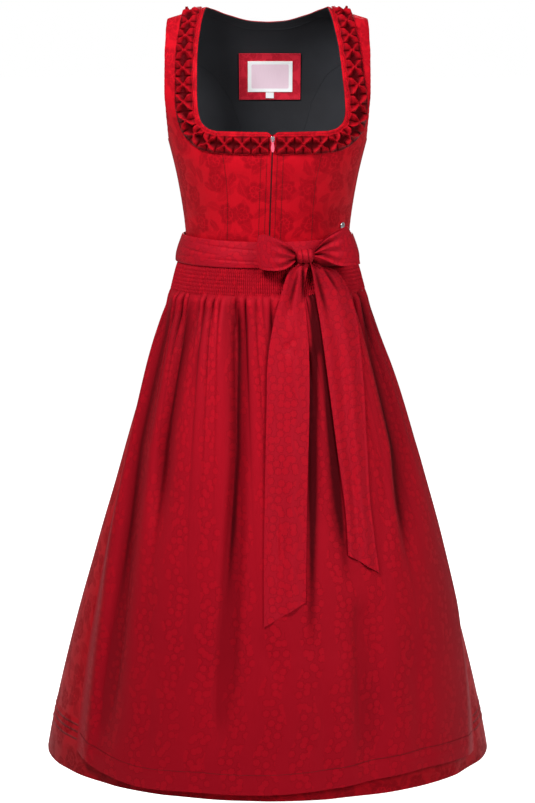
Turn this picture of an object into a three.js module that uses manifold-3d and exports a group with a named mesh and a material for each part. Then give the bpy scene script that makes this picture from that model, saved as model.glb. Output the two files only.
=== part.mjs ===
import * as THREE from "three";
import Module from "manifold-3d";

// A sleeveless dirndl with its apron tied in a bow, hanging as worn by a general figure.
// Millimetres, +Z up, -Y is the front. The origin lies midway between the two shoulder
// seams, at the height where the neck edge crosses them.

// Driving dimensions.
const waistLevel = -334;
const skirtHemLevel = -1057;
const gatherEndLevel = -388;
const clothWall = 1.2;
const liningWall = 1;
const layerGap = 0.4;
const seamGap = 0.4;
const depthToWidth = 0.815;
const shoulderFall = 17;
const shoulderNeckHalf = 83;
const shoulderTipHalf = 139;
const zipOpening = 2;
const zipTapeHalf = 13;
const notchDepth = 4;
const trimWidth = 25;
const trimSetback = 5;
const trimUnits = 13;
const trimEndFromCentre = 4.4;
const apronPleats = 84;
const pleatHeight = 1.8;
const backGathers = 36;
const gatherHeight = 2.2;
const wrapWall = 2;
const bowWall = 1.4;
const tailWall = 1.3;

// Colours, roughness and metalness of the cloths and the small hard pieces.
const finishes = {
  dress: { color: "#b5111f", roughness: 0.5, metalness: 0 },
  apron: { color: "#97101f", roughness: 0.55, metalness: 0 },
  lining: { color: "#151518", roughness: 0.75, metalness: 0 },
  tape: { color: "#6d0a14", roughness: 0.7, metalness: 0 },
  metal: { color: "#b9b9bd", roughness: 0.3, metalness: 1 },
  pull: { color: "#e0718a", roughness: 0.35, metalness: 0.2 },
  labelCloth: { color: "#efc9dc", roughness: 0.6, metalness: 0 },
  tagCloth: { color: "#efeff2", roughness: 0.6, metalness: 0 },
};

const dirndl = new THREE.Group();

function addPiece(name, geometry, finish) {
  const piece = new THREE.Mesh(geometry, new THREE.MeshStandardMaterial(finishes[finish]));
  piece.name = name;
  dirndl.add(piece);
  return piece;
}

const degrees = Math.PI / 180;
const lerp = THREE.MathUtils.lerp;
const smoothstep = THREE.MathUtils.smoothstep;

function table(names, rows) {
  return rows.map((row) => Object.fromEntries(names.map((name, i) => [name, row[i]])));
}

// Reads a column at a value of the first column, which rises down the table, on a smooth
// curve through the rows.
function readColumn(rows, column, at) {
  const key = Object.keys(rows[0])[0];
  const last = rows.length - 1;
  let next = 1;
  while (next < last && at > rows[next][key]) next += 1;
  const slopeAt = (row) => {
    const before = rows[Math.max(row - 1, 0)];
    const after = rows[Math.min(row + 1, last)];
    return (after[column] - before[column]) / (after[key] - before[key]);
  };
  const span = rows[next][key] - rows[next - 1][key];
  const t = THREE.MathUtils.clamp((at - rows[next - 1][key]) / span, 0, 1);
  const blend = t * t * (3 - 2 * t);
  const leave = slopeAt(next - 1) * span * t * (1 - t) * (1 - t);
  const arrive = slopeAt(next) * span * t * t * (1 - t);
  return lerp(rows[next - 1][column], rows[next][column], blend) + leave - arrive;
}

// Triangles between rows of points. A row has as many points as the one above it, or half
// as many spaces between them. The short diagonal of each square may be turned by a test.
function rowFaces(counts, turned = () => false) {
  const faces = [];
  let start = 0;
  for (let row = 0; row + 1 < counts.length; row += 1) {
    const below = start + counts[row];
    const halved = counts[row + 1] < counts[row];
    for (let i = 0; i + 1 < counts[row + 1]; i += 1) {
      const [c, d] = [below + i, below + i + 1];
      if (halved) {
        const a = start + 2 * i;
        faces.push([a, a + 1, c], [a + 1, a + 2, d], [a + 1, d, c]);
      } else {
        const [a, b] = [start + i, start + i + 1];
        faces.push(...(turned(row, i) ? [[a, b, d], [a, d, c]] : [[a, b, c], [b, d, c]]));
      }
    }
    start = below;
  }
  return faces;
}

function signedVolume(points, faces) {
  let sum = 0;
  for (const [a, b, c] of faces) {
    sum += points[a].dot(new THREE.Vector3().crossVectors(points[b], points[c]));
  }
  return sum / 6;
}

function meshGeometry(points, faces) {
  const outward = signedVolume(points, faces) > 0;
  const geometry = new THREE.BufferGeometry();
  const corners = outward ? faces.flat() : faces.map(([a, b, c]) => [a, c, b]).flat();
  geometry.setAttribute("position", new THREE.Float32BufferAttribute(
    points.flatMap((p) => [p.x, p.y, p.z]), 3));
  geometry.setIndex(corners);
  geometry.computeVertexNormals();
  return geometry;
}

// A closed wall of cloth: the outer faces, the inner faces turned round, and a rim along
// every free edge.
function closeWall({ outer, inner, faces }) {
  const edges = new Set(faces.flatMap(([a, b, c]) => [`${a},${b}`, `${b},${c}`, `${c},${a}`]));
  const offset = outer.length;
  const all = [...faces];
  for (const [a, b, c] of faces) {
    all.push([a + offset, c + offset, b + offset]);
    for (const [from, to] of [[a, b], [b, c], [c, a]]) {
      if (!edges.has(`${to},${from}`)) {
        all.push([to, from, from + offset], [to, from + offset, to + offset]);
      }
    }
  }
  return meshGeometry([...outer, ...inner], all);
}

function sheetFromRows(outerRows, innerRows, turned) {
  return {
    outer: outerRows.flat(),
    inner: innerRows.flat(),
    faces: rowFaces(outerRows.map((row) => row.length), turned),
  };
}

// Sews two sheets into one where their outer points meet.
function joinSheets(first, second) {
  const outer = [...first.outer];
  const inner = [...first.inner];
  const index = second.outer.map((point, i) => {
    const met = first.outer.findIndex((other) => other.distanceTo(point) < 0.01);
    if (met >= 0) return met;
    outer.push(point);
    inner.push(second.inner[i]);
    return outer.length - 1;
  });
  const turnRound = ([a, b, c]) => [index[a], index[c], index[b]];
  return { outer, inner, faces: [...first.faces, ...second.faces.map(turnRound)] };
}

// The bodice is a superellipse ring at each level, from the waist, level 0, to the shoulder
// crest, level 1, where the front and the back meet.
const bodiceStations = table(
  ["level", "z", "half", "front", "back", "centre", "square"],
  [
    [0, waistLevel, 113, -92, 88, 0, 2],
    [0.15, -290, 117, -98, 88, 0, 2.05],
    [0.3, -240, 125, -111, 92, 0, 2.15],
    [0.42, -200, 134, -121, 97, 0, 2.15],
    [0.5, -165, 144, -116, 100, 0, 2.15],
    [0.65, -115, 166, -97, 101, 0, 2.15],
    [0.8, -58, 170, -65, 84, 4, 2.15],
    [0.9, -21, 164, -36, 54, 8, 2.15],
    [0.96, -6, 160, -14, 30, 8, 2.15],
    [1, 0, 158, 8, 8, 8, 2.15],
  ],
);
const shoulderLevel = 0.9992;

// The line that the front edges, the neckline and the seams are measured from. It leans a
// little to the wearer's left at the neckline.
const centreLine = table(
  ["z", "x"],
  [[waistLevel, 2], [-250, 4.5], [-165, 7], [-125, 5], [-73, 2], [0, -1]],
);

function fallOf(level, x) {
  const along = (Math.abs(x) - shoulderNeckHalf) / (shoulderTipHalf - shoulderNeckHalf);
  return shoulderFall * smoothstep(level, 0.6, 1) * Math.max(0, along);
}

function bodiceRing(theta, level) {
  const station = (column) => readColumn(bodiceStations, column, level);
  const power = 2 / station("square");
  const [sine, cosine] = [Math.sin(theta), Math.cos(theta)];
  const x = station("half") * Math.sign(sine) * Math.abs(sine) ** power;
  const reach = (cosine > 0 ? station("front") : station("back")) - station("centre");
  const y = station("centre") + reach * Math.abs(cosine) ** power;
  return new THREE.Vector3(x, y, station("z") - fallOf(level, x));
}

// A point at an angle from the centre front and a level, moved out from the cloth's face.
function bodicePoint(theta, level, offset) {
  const [turn, rise] = [0.02, 0.008];
  const isPastCrest = level + rise > 1;
  const above = isPastCrest
    ? bodiceRing(Math.PI - theta, 2 - level - rise)
    : bodiceRing(theta, level + rise);
  const across = bodiceRing(theta + turn, level).sub(bodiceRing(theta - turn, level));
  const up = above.sub(bodiceRing(theta, Math.max(level - rise, 0)));
  const normal = across.cross(up).normalize();
  return bodiceRing(theta, level).addScaledVector(normal, offset);
}

// The angle and level of a place seen from the front, on the front or the back half. With
// flat set, the height is the one before the shoulder's fall.
function bodicePlace(x, z, isFront, flat = false) {
  let [low, high] = [0, shoulderLevel];
  for (let i = 0; i < 40; i += 1) {
    const middle = (low + high) / 2;
    const fall = flat ? 0 : fallOf(middle, x);
    if (readColumn(bodiceStations, "z", middle) - fall < z) low = middle;
    else high = middle;
  }
  const ratio = Math.min(1, Math.abs(x) / readColumn(bodiceStations, "half", low));
  const power = readColumn(bodiceStations, "square", low) / 2;
  const turn = Math.asin(ratio ** power) * Math.sign(x);
  return { theta: isFront ? turn : Math.PI - turn, level: low };
}

const shellLayer = { outer: 0, inner: -clothWall };
const liningLayer = { outer: -clothWall - layerGap, inner: -clothWall - layerGap - liningWall };

// The side seam, written as a half-width that lies past every ring.
const sideSeam = 999;

// The height between levels 0 and 1 near the neckline, which turns a height into a level.
const levelHeight = 400;

// Panels of one half of the bodice. A row runs from a near border to a far one. Seams and
// neck edges are measured from the centre line, armholes from the middle of the figure.
const panelRows = {
  front: table(
    ["nearX", "nearZ", "farX", "farZ"],
    [
      [zipOpening / 2, -333.6, 56, -333.6], [zipOpening / 2, -300, 56, -300],
      [zipOpening / 2, -265, 56.5, -265], [zipOpening / 2, -232, 59, -232],
      [zipOpening / 2, -203, 64, -203], [zipOpening / 2, -182, 70, -182],
      [zipOpening / 2, -166, 76, -165.3],
    ],
  ),
  sideFront: table(
    ["nearX", "nearZ", "farX", "farZ"],
    [
      [56, -333.6, sideSeam, -333.6], [56, -300, sideSeam, -300],
      [56.5, -265, sideSeam, -266], [59, -232, sideSeam, -234],
      [64, -203, sideSeam, -208], [70, -182, sideSeam, -184],
      [76, -165.3, 137.4, -179.5], [88, -162, 138, -173],
      [96.5, -154, 138.4, -164], [100, -142, 139.2, -152],
      [100.5, -124, 140.2, -134], [99.5, -100, 141.4, -108], [98, -73, 141.3, -78],
      [94.5, -42, 141, -52], [90.5, -20, 140.4, -33], [87, -7, 139.6, -22.5],
      [84, 0, shoulderTipHalf, -shoulderFall],
    ],
  ),
  centreBack: table(
    ["nearX", "nearZ", "farX", "farZ"],
    [
      [0, -333.6, 30, -333.6], [0, -280, 32, -288], [0, -225, 36, -240],
      [0, -170, 44, -182], [0, -130, 57, -138], [0, -112, 68, -117], [0, -92, 82, -96],
      [0, -66, 108, -76.5], [0, -42, 141.4, -66], [0, -22, 141.2, -56], [28, -19.5, 141, -46],
      [54, -12, 140.4, -35], [73, -4.5, 139.8, -25.5],
      [84, 0, shoulderTipHalf, -shoulderFall],
    ],
  ),
  sideBack: table(
    ["nearX", "nearZ", "farX", "farZ"],
    [
      [30, -333.6, sideSeam, -333.6], [32, -288, sideSeam, -290],
      [36, -240, sideSeam, -240], [44, -182, sideSeam, -184],
      [57, -138, 137.6, -178.5], [68, -117, 138.4, -168], [82, -96, 139.4, -150],
      [108, -76.5, 141.2, -115], [141.4, -66, 141.5, -69],
    ],
  ),
};

const narrowestArmhole = 130;

function borderX(x, z, side) {
  const lean = x < narrowestArmhole ? readColumn(centreLine, "x", z) : 0;
  return side * x + lean;
}

function bodicePanel(rows, isFront, side, layer, shares, dips = []) {
  const outerRows = [];
  const innerRows = [];
  rows.forEach((row, i) => {
    const near = bodicePlace(borderX(row.nearX, row.nearZ, side), row.nearZ, isFront);
    const far = bodicePlace(borderX(row.farX, row.farZ, side), row.farZ, isFront);
    const inset = (seamGap / 2 / 110) * Math.sign(far.theta - near.theta);
    const from = near.theta + (row.nearX > zipOpening ? inset : 0);
    const to = far.theta - inset;
    const dip = (column) => (i === rows.length - 1 ? (dips[column] ?? 0) : 0);
    const place = (share, column, offset) => bodicePoint(
      lerp(from, to, share),
      lerp(near.level, far.level, share) - dip(column) / levelHeight,
      offset,
    );
    outerRows.push(shares.map((share, column) => place(share, column, layer.outer)));
    innerRows.push(shares.map((share, column) => place(share, column, layer.inner)));
  });
  const span = (row, i, nextRow, j) => outerRows[row][i].distanceTo(outerRows[nextRow][j]);
  const turned = (row, i) => span(row, i, row + 1, i + 1) < 0.95 * span(row, i + 1, row + 1, i);
  return sheetFromRows(outerRows, innerRows, turned);
}

function evenShares(columns) {
  return Array.from({ length: columns + 1 }, (unused, i) => i / columns);
}

const halves = [
  { side: -1, word: "left" },
  { side: 1, word: "right" },
];

function addBodiceLayer(prefix, layer, finish, columns) {
  const back = panelRows.centreBack;
  const backHalf = (side) => bodicePanel(back, false, side, layer, evenShares(columns.back));
  addPiece(`${prefix}_centre_back`, closeWall(joinSheets(backHalf(-1), backHalf(1))), finish);
  for (const { side, word } of halves) {
    const piece = (rows, isFront, count) => closeWall(
      bodicePanel(rows, isFront, side, layer, evenShares(count)));
    addPiece(`${prefix}_side_front_${word}`, piece(panelRows.sideFront, true, columns.sideFront), finish);
    addPiece(`${prefix}_side_back_${word}`, piece(panelRows.sideBack, false, columns.sideBack), finish);
  }
}

function addFrontPanels() {
  const shellShares = [0, 0.07, 0.35, 0.68, 1];
  const liningRows = panelRows.front.map((row) => ({ ...row, nearX: zipTapeHalf + layerGap }));
  const liningShares = [0, 0.16, 0.58, 1];
  for (const { side, word } of halves) {
    const shell = bodicePanel(panelRows.front, true, side, shellLayer, shellShares, [notchDepth]);
    addPiece(`bodice_front_${word}`, closeWall(shell), "dress");
    const lining = bodicePanel(liningRows, true, side, liningLayer, liningShares);
    addPiece(`lining_front_${word}`, closeWall(lining), "lining");
  }
}

addFrontPanels();
const panelColumns = { sideFront: 5, sideBack: 4, back: 5 };
addBodiceLayer("bodice", shellLayer, "dress", panelColumns);
addBodiceLayer("lining", liningLayer, "lining", panelColumns);

// The zip: a tape behind the front edges, with its closed chain as a ridge between them.
const zipTopLevel = -168.5;

function addZipTape() {
  const profile = table(
    ["x", "lift"],
    [
      [-zipTapeHalf, 0], [-4.8, 0], [-0.8, 0], [-0.65, 1.2], [0.65, 1.2], [0.8, 0], [4.8, 0],
      [zipTapeHalf, 0],
    ],
  );
  const levels = [...panelRows.front.slice(0, -1).map((row) => row.nearZ), zipTopLevel];
  const face = -clothWall - layerGap;
  const rowAt = (z, offsetOf) => profile.map((corner) => {
    const place = bodicePlace(readColumn(centreLine, "x", z) + corner.x, z, true);
    return bodicePoint(place.theta, place.level, offsetOf(corner));
  });
  const outerRows = levels.map((z) => rowAt(z, (corner) => face + corner.lift));
  const innerRows = levels.map((z) => rowAt(z, () => face - 0.8));
  addPiece("zip_tape", closeWall(sheetFromRows(outerRows, innerRows)), "tape");
}

addZipTape();

// The slider and its pull tab stand on the front edges. Their own frame has X across, Z up
// along the cloth and -Y straight out of it.
const sliderLevel = -176;
const sliderLength = 8;
const sliderWidth = 5;
const sliderPlate = { from: 0.4, to: 1.8 };
const bail = { width: 1.4, bottom: -2.6, top: 1.6, out: 4.6, corner: 0.7 };
const bailEye = { bottom: -1.5, top: 0.9, from: 1.9, to: 3.5 };
const pullBar = { bottom: -1.2, top: -0.1, from: 2.15, to: 3.15 };
const pullHole = { half: 1.15, bottom: -3.9 };
const pullTip = -17.2;

function extrudedOutline(points, hole, thickness) {
  const shape = new THREE.Shape(points.map(([x, y]) => new THREE.Vector2(x, y)));
  if (hole) shape.holes.push(new THREE.Path(hole.map(([x, y]) => new THREE.Vector2(x, y))));
  return new THREE.ExtrudeGeometry(shape, { depth: thickness, bevelEnabled: false });
}

const wasm = await Module();
wasm.setup();

function weldedCorners(geometry) {
  const positions = geometry.getAttribute("position");
  const keys = new Map();
  const points = [];
  const corner = (i) => {
    const point = new THREE.Vector3().fromBufferAttribute(positions, i);
    const key = point.toArray().map((value) => value.toFixed(4)).join();
    if (!keys.has(key)) keys.set(key, points.push(point) - 1);
    return keys.get(key);
  };
  const order = geometry.index ? Array.from(geometry.index.array) : [...Array(positions.count).keys()];
  return { points, triangles: order.map(corner) };
}

function solidOf(geometry) {
  const { points, triangles } = weldedCorners(geometry);
  return new wasm.Manifold(new wasm.Mesh({
    numProp: 3,
    vertProperties: new Float32Array(points.flatMap((p) => p.toArray())),
    triVerts: new Uint32Array(triangles),
  }));
}

function geometryOf(solid) {
  const mesh = solid.getMesh();
  const geometry = new THREE.BufferGeometry();
  geometry.setAttribute("position", new THREE.BufferAttribute(new Float32Array(mesh.vertProperties), 3));
  geometry.setIndex(Array.from(mesh.triVerts));
  geometry.computeVertexNormals();
  return geometry;
}

// A plate drawn across and up, lying between two distances out of the cloth.
function plateBetween(outline, hole, from, to) {
  const plate = extrudedOutline(outline, hole, to - from);
  const turn = new THREE.Matrix4().makeBasis(
    new THREE.Vector3(1, 0, 0), new THREE.Vector3(0, 0, 1), new THREE.Vector3(0, -1, 0));
  return plate.applyMatrix4(turn).translate(0, -from, 0);
}

// A plate drawn out and up, lying across the middle with a width.
function plateAcross(outline, hole, width) {
  const plate = extrudedOutline(outline, hole, width);
  const turn = new THREE.Matrix4().makeBasis(
    new THREE.Vector3(0, -1, 0), new THREE.Vector3(0, 0, 1), new THREE.Vector3(-1, 0, 0));
  return plate.applyMatrix4(turn).translate(width / 2, 0, 0);
}

function rectangle(left, bottom, right, top) {
  return [[left, bottom], [right, bottom], [right, top], [left, top]];
}

function sliderGeometry() {
  const half = sliderWidth / 2;
  const end = sliderLength / 2;
  const plate = plateBetween(
    [[-half * 0.6, -end], [half * 0.6, -end], [half, -end * 0.4], [half, end * 0.7],
      [half * 0.6, end], [-half * 0.6, end], [-half, end * 0.7], [-half, -end * 0.4]],
    null, sliderPlate.from, sliderPlate.to);
  const root = sliderPlate.to - 0.3;
  const bow = plateAcross(
    [[root, bail.bottom], [bail.out - bail.corner, bail.bottom],
      [bail.out, bail.bottom + bail.corner], [bail.out, bail.top - bail.corner],
      [bail.out - bail.corner, bail.top], [root, bail.top]],
    rectangle(bailEye.from, bailEye.bottom, bailEye.to, bailEye.top), bail.width);
  return geometryOf(solidOf(plate).add(solidOf(bow)));
}

function pullGeometry() {
  const outline = table(
    ["half", "z"],
    [[1.5, pullBar.top], [1.9, -0.9], [1.9, -4.2], [1.3, -5.2], [2.4, -11], [1.9, -15], [0.9, pullTip]],
  );
  const right = outline.map((corner) => [corner.half, corner.z]);
  const left = outline.map((corner) => [-corner.half, corner.z]).reverse();
  const hole = rectangle(-pullHole.half, pullHole.bottom, pullHole.half, pullBar.bottom);
  return plateBetween([...left, ...right].reverse(), hole, pullBar.from, pullBar.to);
}

// Places a piece on the cloth, turned so that it stands straight out of it.
function seatOnBodice(piece, x, z, isFront) {
  const { theta, level } = bodicePlace(x, z, isFront);
  const foot = bodicePoint(theta, level, 0);
  const out = bodicePoint(theta, level, 1).sub(foot);
  const across = new THREE.Vector3(0, 0, 1).cross(out).normalize();
  const up = new THREE.Vector3().crossVectors(out, across).normalize();
  const basis = new THREE.Matrix4().makeBasis(across, out.clone().negate(), up);
  piece.position.copy(foot);
  piece.quaternion.setFromRotationMatrix(basis);
}

const zipX = readColumn(centreLine, "x", sliderLevel);
const slider = addPiece("zip_slider", sliderGeometry(), "metal");
const pull = addPiece("zip_pull", pullGeometry(), "pull");
seatOnBodice(slider, zipX, sliderLevel, true);
seatOnBodice(pull, zipX, sliderLevel, true);

// A plain round badge low on the side of the bodice.
const badgeRadius = 5;
const badgePlace = { x: 103, z: -299 };

function badgeGeometry() {
  const profile = [[0, 0], [badgeRadius, 0], [badgeRadius, 0.8], [badgeRadius - 0.8, 1.3], [0, 1.6]];
  const outline = profile.map(([radius, height]) => new THREE.Vector2(radius, height));
  return new THREE.LatheGeometry(outline, 20).rotateX(Math.PI).translate(0, -layerGap - 0.1, 0);
}

seatOnBodice(addPiece("badge", badgeGeometry(), "metal"), badgePlace.x, badgePlace.z, true);

// The patch, the label and the size tag lie on the lining inside the back, each made from
// the columns and rows of one grid.
const labelColumns = [-41, -28.5, -12, 4, 20, 36, 47.5];
const labelRows = [-133, -121.5, -106, -91, -76.5, -65.5];
const labelPieces = [
  { name: "label_patch", xs: labelColumns, zs: labelRows, near: 1.6, far: 2.5, finish: "dress" },
  {
    name: "label",
    xs: labelColumns.slice(1, -1),
    zs: labelRows.slice(1, -1),
    near: 2.9,
    far: 3.6,
    finish: "labelCloth",
  },
  { name: "size_tag", xs: [-2.5, 4, 9], zs: [-131, -122.2], near: 3.1, far: 3.8, finish: "tagCloth" },
];

for (const { name, xs, zs, near, far, finish } of labelPieces) {
  const rowsAt = (depth) => zs.map((z) => xs.map((x) => {
    const place = bodicePlace(x, z, false);
    return bodicePoint(place.theta, place.level, liningLayer.inner - depth);
  }));
  addPiece(name, closeWall(sheetFromRows(rowsAt(near), rowsAt(far))), finish);
}

// The neckline trim is a ribbon folded into a row of four-armed stars. It follows the neck
// edge from the shoulder seam down the strap, round the corner and in to the zip.
const neckEdge = table(
  ["x", "z"],
  [
    [84, 0], [89, -12], [94.5, -42], [98, -73], [99.5, -100], [100.5, -124], [100, -142],
    [96.5, -154], [88, -162], [76, -165.3], [50, -166], [25, -166], [0, -166],
  ],
);

// Heights of one star above the ribbon's foot, on rows along it, from edge to edge.
const starRelief = table(
  ["along", "edge", "arm", "middle"],
  [[0, 1.6, 2.2, 2.4], [0.2, 2.6, 8, 2.2], [0.5, 4.4, 1.6, 6.5], [0.8, 2.6, 8, 2.2]],
);
const starAcross = [-1, -0.55, 0, 0.55, 1];

function neckCurve(side) {
  const points = neckEdge.map((p) => new THREE.Vector3(
    readColumn(centreLine, "x", p.z) + side * p.x, 0, p.z));
  return new THREE.CatmullRomCurve3(points, false, "centripetal");
}

function trimSheet(side) {
  const curve = neckCurve(side);
  const setOut = trimSetback + trimWidth / 2;
  const pointAt = (share, across, offset) => {
    const foot = curve.getPointAt(share);
    const along = curve.getTangentAt(share);
    const out = new THREE.Vector3(-along.z * side, 0, along.x * side);
    const spot = foot.addScaledVector(out, setOut + across * (trimWidth / 2));
    const place = bodicePlace(spot.x, spot.z, true, true);
    return bodicePoint(place.theta, place.level, offset);
  };
  const steps = 240;
  const end = 1 - (trimEndFromCentre / curve.getLength());
  const lengths = [0];
  for (let i = 1; i <= steps; i += 1) {
    const step = pointAt((i / steps) * end, 0, 0).distanceTo(pointAt(((i - 1) / steps) * end, 0, 0));
    lengths.push(lengths[i - 1] + step);
  }
  const shareOf = (length) => {
    const i = Math.max(1, lengths.findIndex((reached) => reached >= length - 1e-6));
    const part = (length - lengths[i - 1]) / (lengths[i] - lengths[i - 1]);
    return ((i - 1 + part) / steps) * end;
  };
  const unitLength = lengths[steps] / trimUnits;
  const foot = layerGap + 0.1;
  const outerRows = [];
  const innerRows = [];
  const heights = [];
  for (let unit = 0; unit <= trimUnits; unit += 1) {
    for (const row of unit < trimUnits ? starRelief : starRelief.slice(0, 1)) {
      const share = shareOf((unit + row.along) * unitLength);
      const rise = [row.edge, row.arm, row.middle, row.arm, row.edge];
      outerRows.push(starAcross.map((across, j) => pointAt(share, across, foot + rise[j])));
      innerRows.push(starAcross.map((across) => pointAt(share, across, foot)));
      heights.push(rise);
    }
  }
  const turned = (row, i) => {
    const falling = heights[row][i] + heights[row + 1][i + 1];
    return falling > heights[row][i + 1] + heights[row + 1][i];
  };
  return sheetFromRows(outerRows, innerRows, turned);
}

for (const { side, word } of halves) {
  addPiece(`neck_trim_${word}`, closeWall(trimSheet(side)), "dress");
}

// The skirt hangs on ellipses whose half-widths follow its height.
const skirtProfile = table(
  ["z", "half"],
  [
    [skirtHemLevel, 318.6], [-1024, 312.5], [-963, 299], [-904, 284.5], [-844, 268.5],
    [-785, 251.5], [-726, 234.5], [-668, 217], [-610, 200.5], [-552, 183.5], [-494, 166],
    [-466, 157], [-437, 147.5], [-409, 139], [-380, 132], [-355, 125], [-345, 119.5],
    [waistLevel, 114],
  ],
);

function skirtPoint(theta, z, offset) {
  const half = readColumn(skirtProfile, "half", z);
  const x = (half + offset) * Math.sin(theta);
  return new THREE.Vector3(x, -(half * depthToWidth + offset) * Math.cos(theta), z);
}

// Soft valleys that run down a panel. Each lies at the named sideways places at three
// heights, has a depth and a half-width, and shows between its start and its end.
const placeHeights = { high: -400, middle: -600, low: -900 };

function troughDepth(folds, x, z) {
  return folds.reduce((sum, fold) => {
    const upper = (z - placeHeights.middle) / (placeHeights.high - placeHeights.middle);
    const lower = (z - placeHeights.middle) / (placeHeights.low - placeHeights.middle);
    const at = z > placeHeights.middle
      ? lerp(fold.middleX, fold.highX, upper)
      : lerp(fold.middleX, fold.lowX, lower);
    const fadeIn = 1 - smoothstep(z, fold.start - 35, fold.start);
    const fadeOut = smoothstep(z, fold.end, fold.end + 90);
    const away = (x - at) / fold.width;
    return sum + fold.depth * fadeIn * fadeOut * Math.exp(-away * away);
  }, 0);
}

const foldColumns = ["highX", "middleX", "lowX", "depth", "width", "start", "end"];
const apronFolds = table(foldColumns, [
  [-126, -171, -215, 7, 13, -380, -1060],
  [-101, -137, -165, 7, 12, -380, -760],
  [-76, -108, -120, 5, 10, -380, -480],
  [-54, -62, -70, 4, 9, -380, -450],
  [-37, -40, -61, 8, 14, -385, -1030],
  [4, -5, -10, 4, 14, -390, -620],
  [50, 58, 66, 6, 13, -440, -780],
  [121, 168, 202, 8, 14, -380, -800],
  [100, 110, 126, 4, 22, -780, -1100],
]);
const backFolds = table(foldColumns, [
  [-112, -160, -245, 9, 16, -400, -1200],
  [-86, -118, -176, 11, 18, -380, -1200],
  [-52, -74, -118, 8, 15, -390, -1200],
  [-24, -34, -48, 11, 17, -380, -1200],
  [10, 14, 18, 8, 15, -400, -1200],
  [38, 52, 82, 11, 18, -380, -1200],
  [70, 98, 146, 9, 16, -390, -1200],
  [104, 146, 216, 10, 17, -380, -1200],
]);

// The skirt's back is gathered into the waist seam. Rows run down with their spaces.
const backRows = table(
  ["z", "spaces", "gather"],
  [
    [waistLevel - seamGap, 2 * backGathers, 0.5], [-346, 2 * backGathers, 1],
    [-366, 2 * backGathers, 0.7], [-396, backGathers, 0], [-440, backGathers, 0],
    [-500, backGathers, 0], [-570, backGathers, 0], [-645, backGathers, 0],
    [-725, backGathers, 0], [-810, backGathers, 0], [-895, backGathers, 0],
    [-980, backGathers, 0], [skirtHemLevel, backGathers, 0],
  ],
);
const frontSpaces = 18;
const frontLevels = [
  waistLevel - seamGap, -355, -396, -450, -520, -610, -710, -820, -940, skirtHemLevel,
];
const frontRows = frontLevels.map((z) => ({ z, spaces: frontSpaces, gather: 0 }));

function skirtPanel(rows, centreAngle, folds) {
  const halfTurn = Math.PI / 2;
  const rowsAt = (inward) => rows.map((row) => evenShares(row.spaces).map((share, i) => {
    const inset = seamGap / 2 / readColumn(skirtProfile, "half", row.z);
    const theta = centreAngle + lerp(-halfTurn + inset, halfTurn - inset, share);
    const x = readColumn(skirtProfile, "half", row.z) * Math.sin(theta);
    const nearSeam = smoothstep(Math.abs(Math.cos(theta)), 0.02, 0.25);
    const gather = inward ? 0 : row.gather * gatherHeight * (i % 2) * nearSeam;
    return skirtPoint(theta, row.z, gather - nearSeam * troughDepth(folds, x, row.z) - inward);
  }));
  return sheetFromRows(rowsAt(0), rowsAt(clothWall));
}

addPiece("skirt_front", closeWall(skirtPanel(frontRows, 0, [])), "dress");
addPiece("skirt_back", closeWall(skirtPanel(backRows, Math.PI, backFolds)), "dress");

// The apron lies over the skirt's front. Its head is drawn into fine upright pleats.
const apronEdges = table(
  ["z", "left", "right"],
  [
    [-1057, -57.5, 66], [-1030, -58, 67.5], [-935, -61, 75], [-880, -63, 79],
    [-826, -65, 84], [-700, -71, 87], [-600, -74, 87], [-500, -78, 87],
    [-400, -84, 87], [waistLevel, -86, 87],
  ],
);
const apronHem = table(
  ["share", "z"],
  [
    [0, -1024], [0.1, -1039], [0.2, -1048], [0.31, -1046], [0.46, -1046], [0.58, -1041],
    [0.68, -1035], [0.79, -1031], [0.86, -1032], [1, -1036],
  ],
);
const apronHemLevel = -1046;
const apronFullness = table(
  ["z", "rise"],
  [
    [-1057, 3], [-850, 5], [-700, 7], [-560, 8.5], [-480, 8], [-430, 6], [-405, 3.5],
    [gatherEndLevel, 1.4], [waistLevel, 0],
  ],
);
const apronFine = 2 * apronPleats;
const apronCoarse = apronPleats / 2;
const apronRows = table(
  ["z", "spaces", "pleat"],
  [
    [waistLevel - 2.5, apronFine, 0.6], [-360, apronFine, 1], [gatherEndLevel, apronFine, 1],
    [-396, apronFine, 0.5], [-408, apronPleats, 0], [-426, apronPleats, 0],
    [-450, apronCoarse, 0], [-485, apronCoarse, 0], [-530, apronCoarse, 0],
    [-585, apronCoarse, 0], [-645, apronCoarse, 0], [-710, apronCoarse, 0],
    [-780, apronCoarse, 0], [-860, apronCoarse, 0], [-950, apronCoarse, 0],
    [apronHemLevel, apronCoarse, 0],
  ],
);
const apronGap = 1.2;
const shortFolds = { count: 15, height: 2.6, start: -388, end: -450 };

// How far the apron's outer face stands out from the skirt, pleats apart.
function apronRise(share, x, z) {
  const nearEdge = smoothstep(Math.min(share, 1 - share), 0, 0.06);
  const rise = readColumn(apronFullness, "rise", z);
  const hollow = Math.min(rise, troughDepth(apronFolds, x, z));
  const fade = smoothstep(-z, -shortFolds.start, 30 - shortFolds.start)
    * (1 - smoothstep(-z, -shortFolds.end - 20, 20 - shortFolds.end));
  const ripple = shortFolds.height * fade * Math.cos(2 * Math.PI * shortFolds.count * share) / 2;
  return apronGap + clothWall + nearEdge * (rise - hollow + ripple + shortFolds.height * fade / 2);
}

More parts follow.
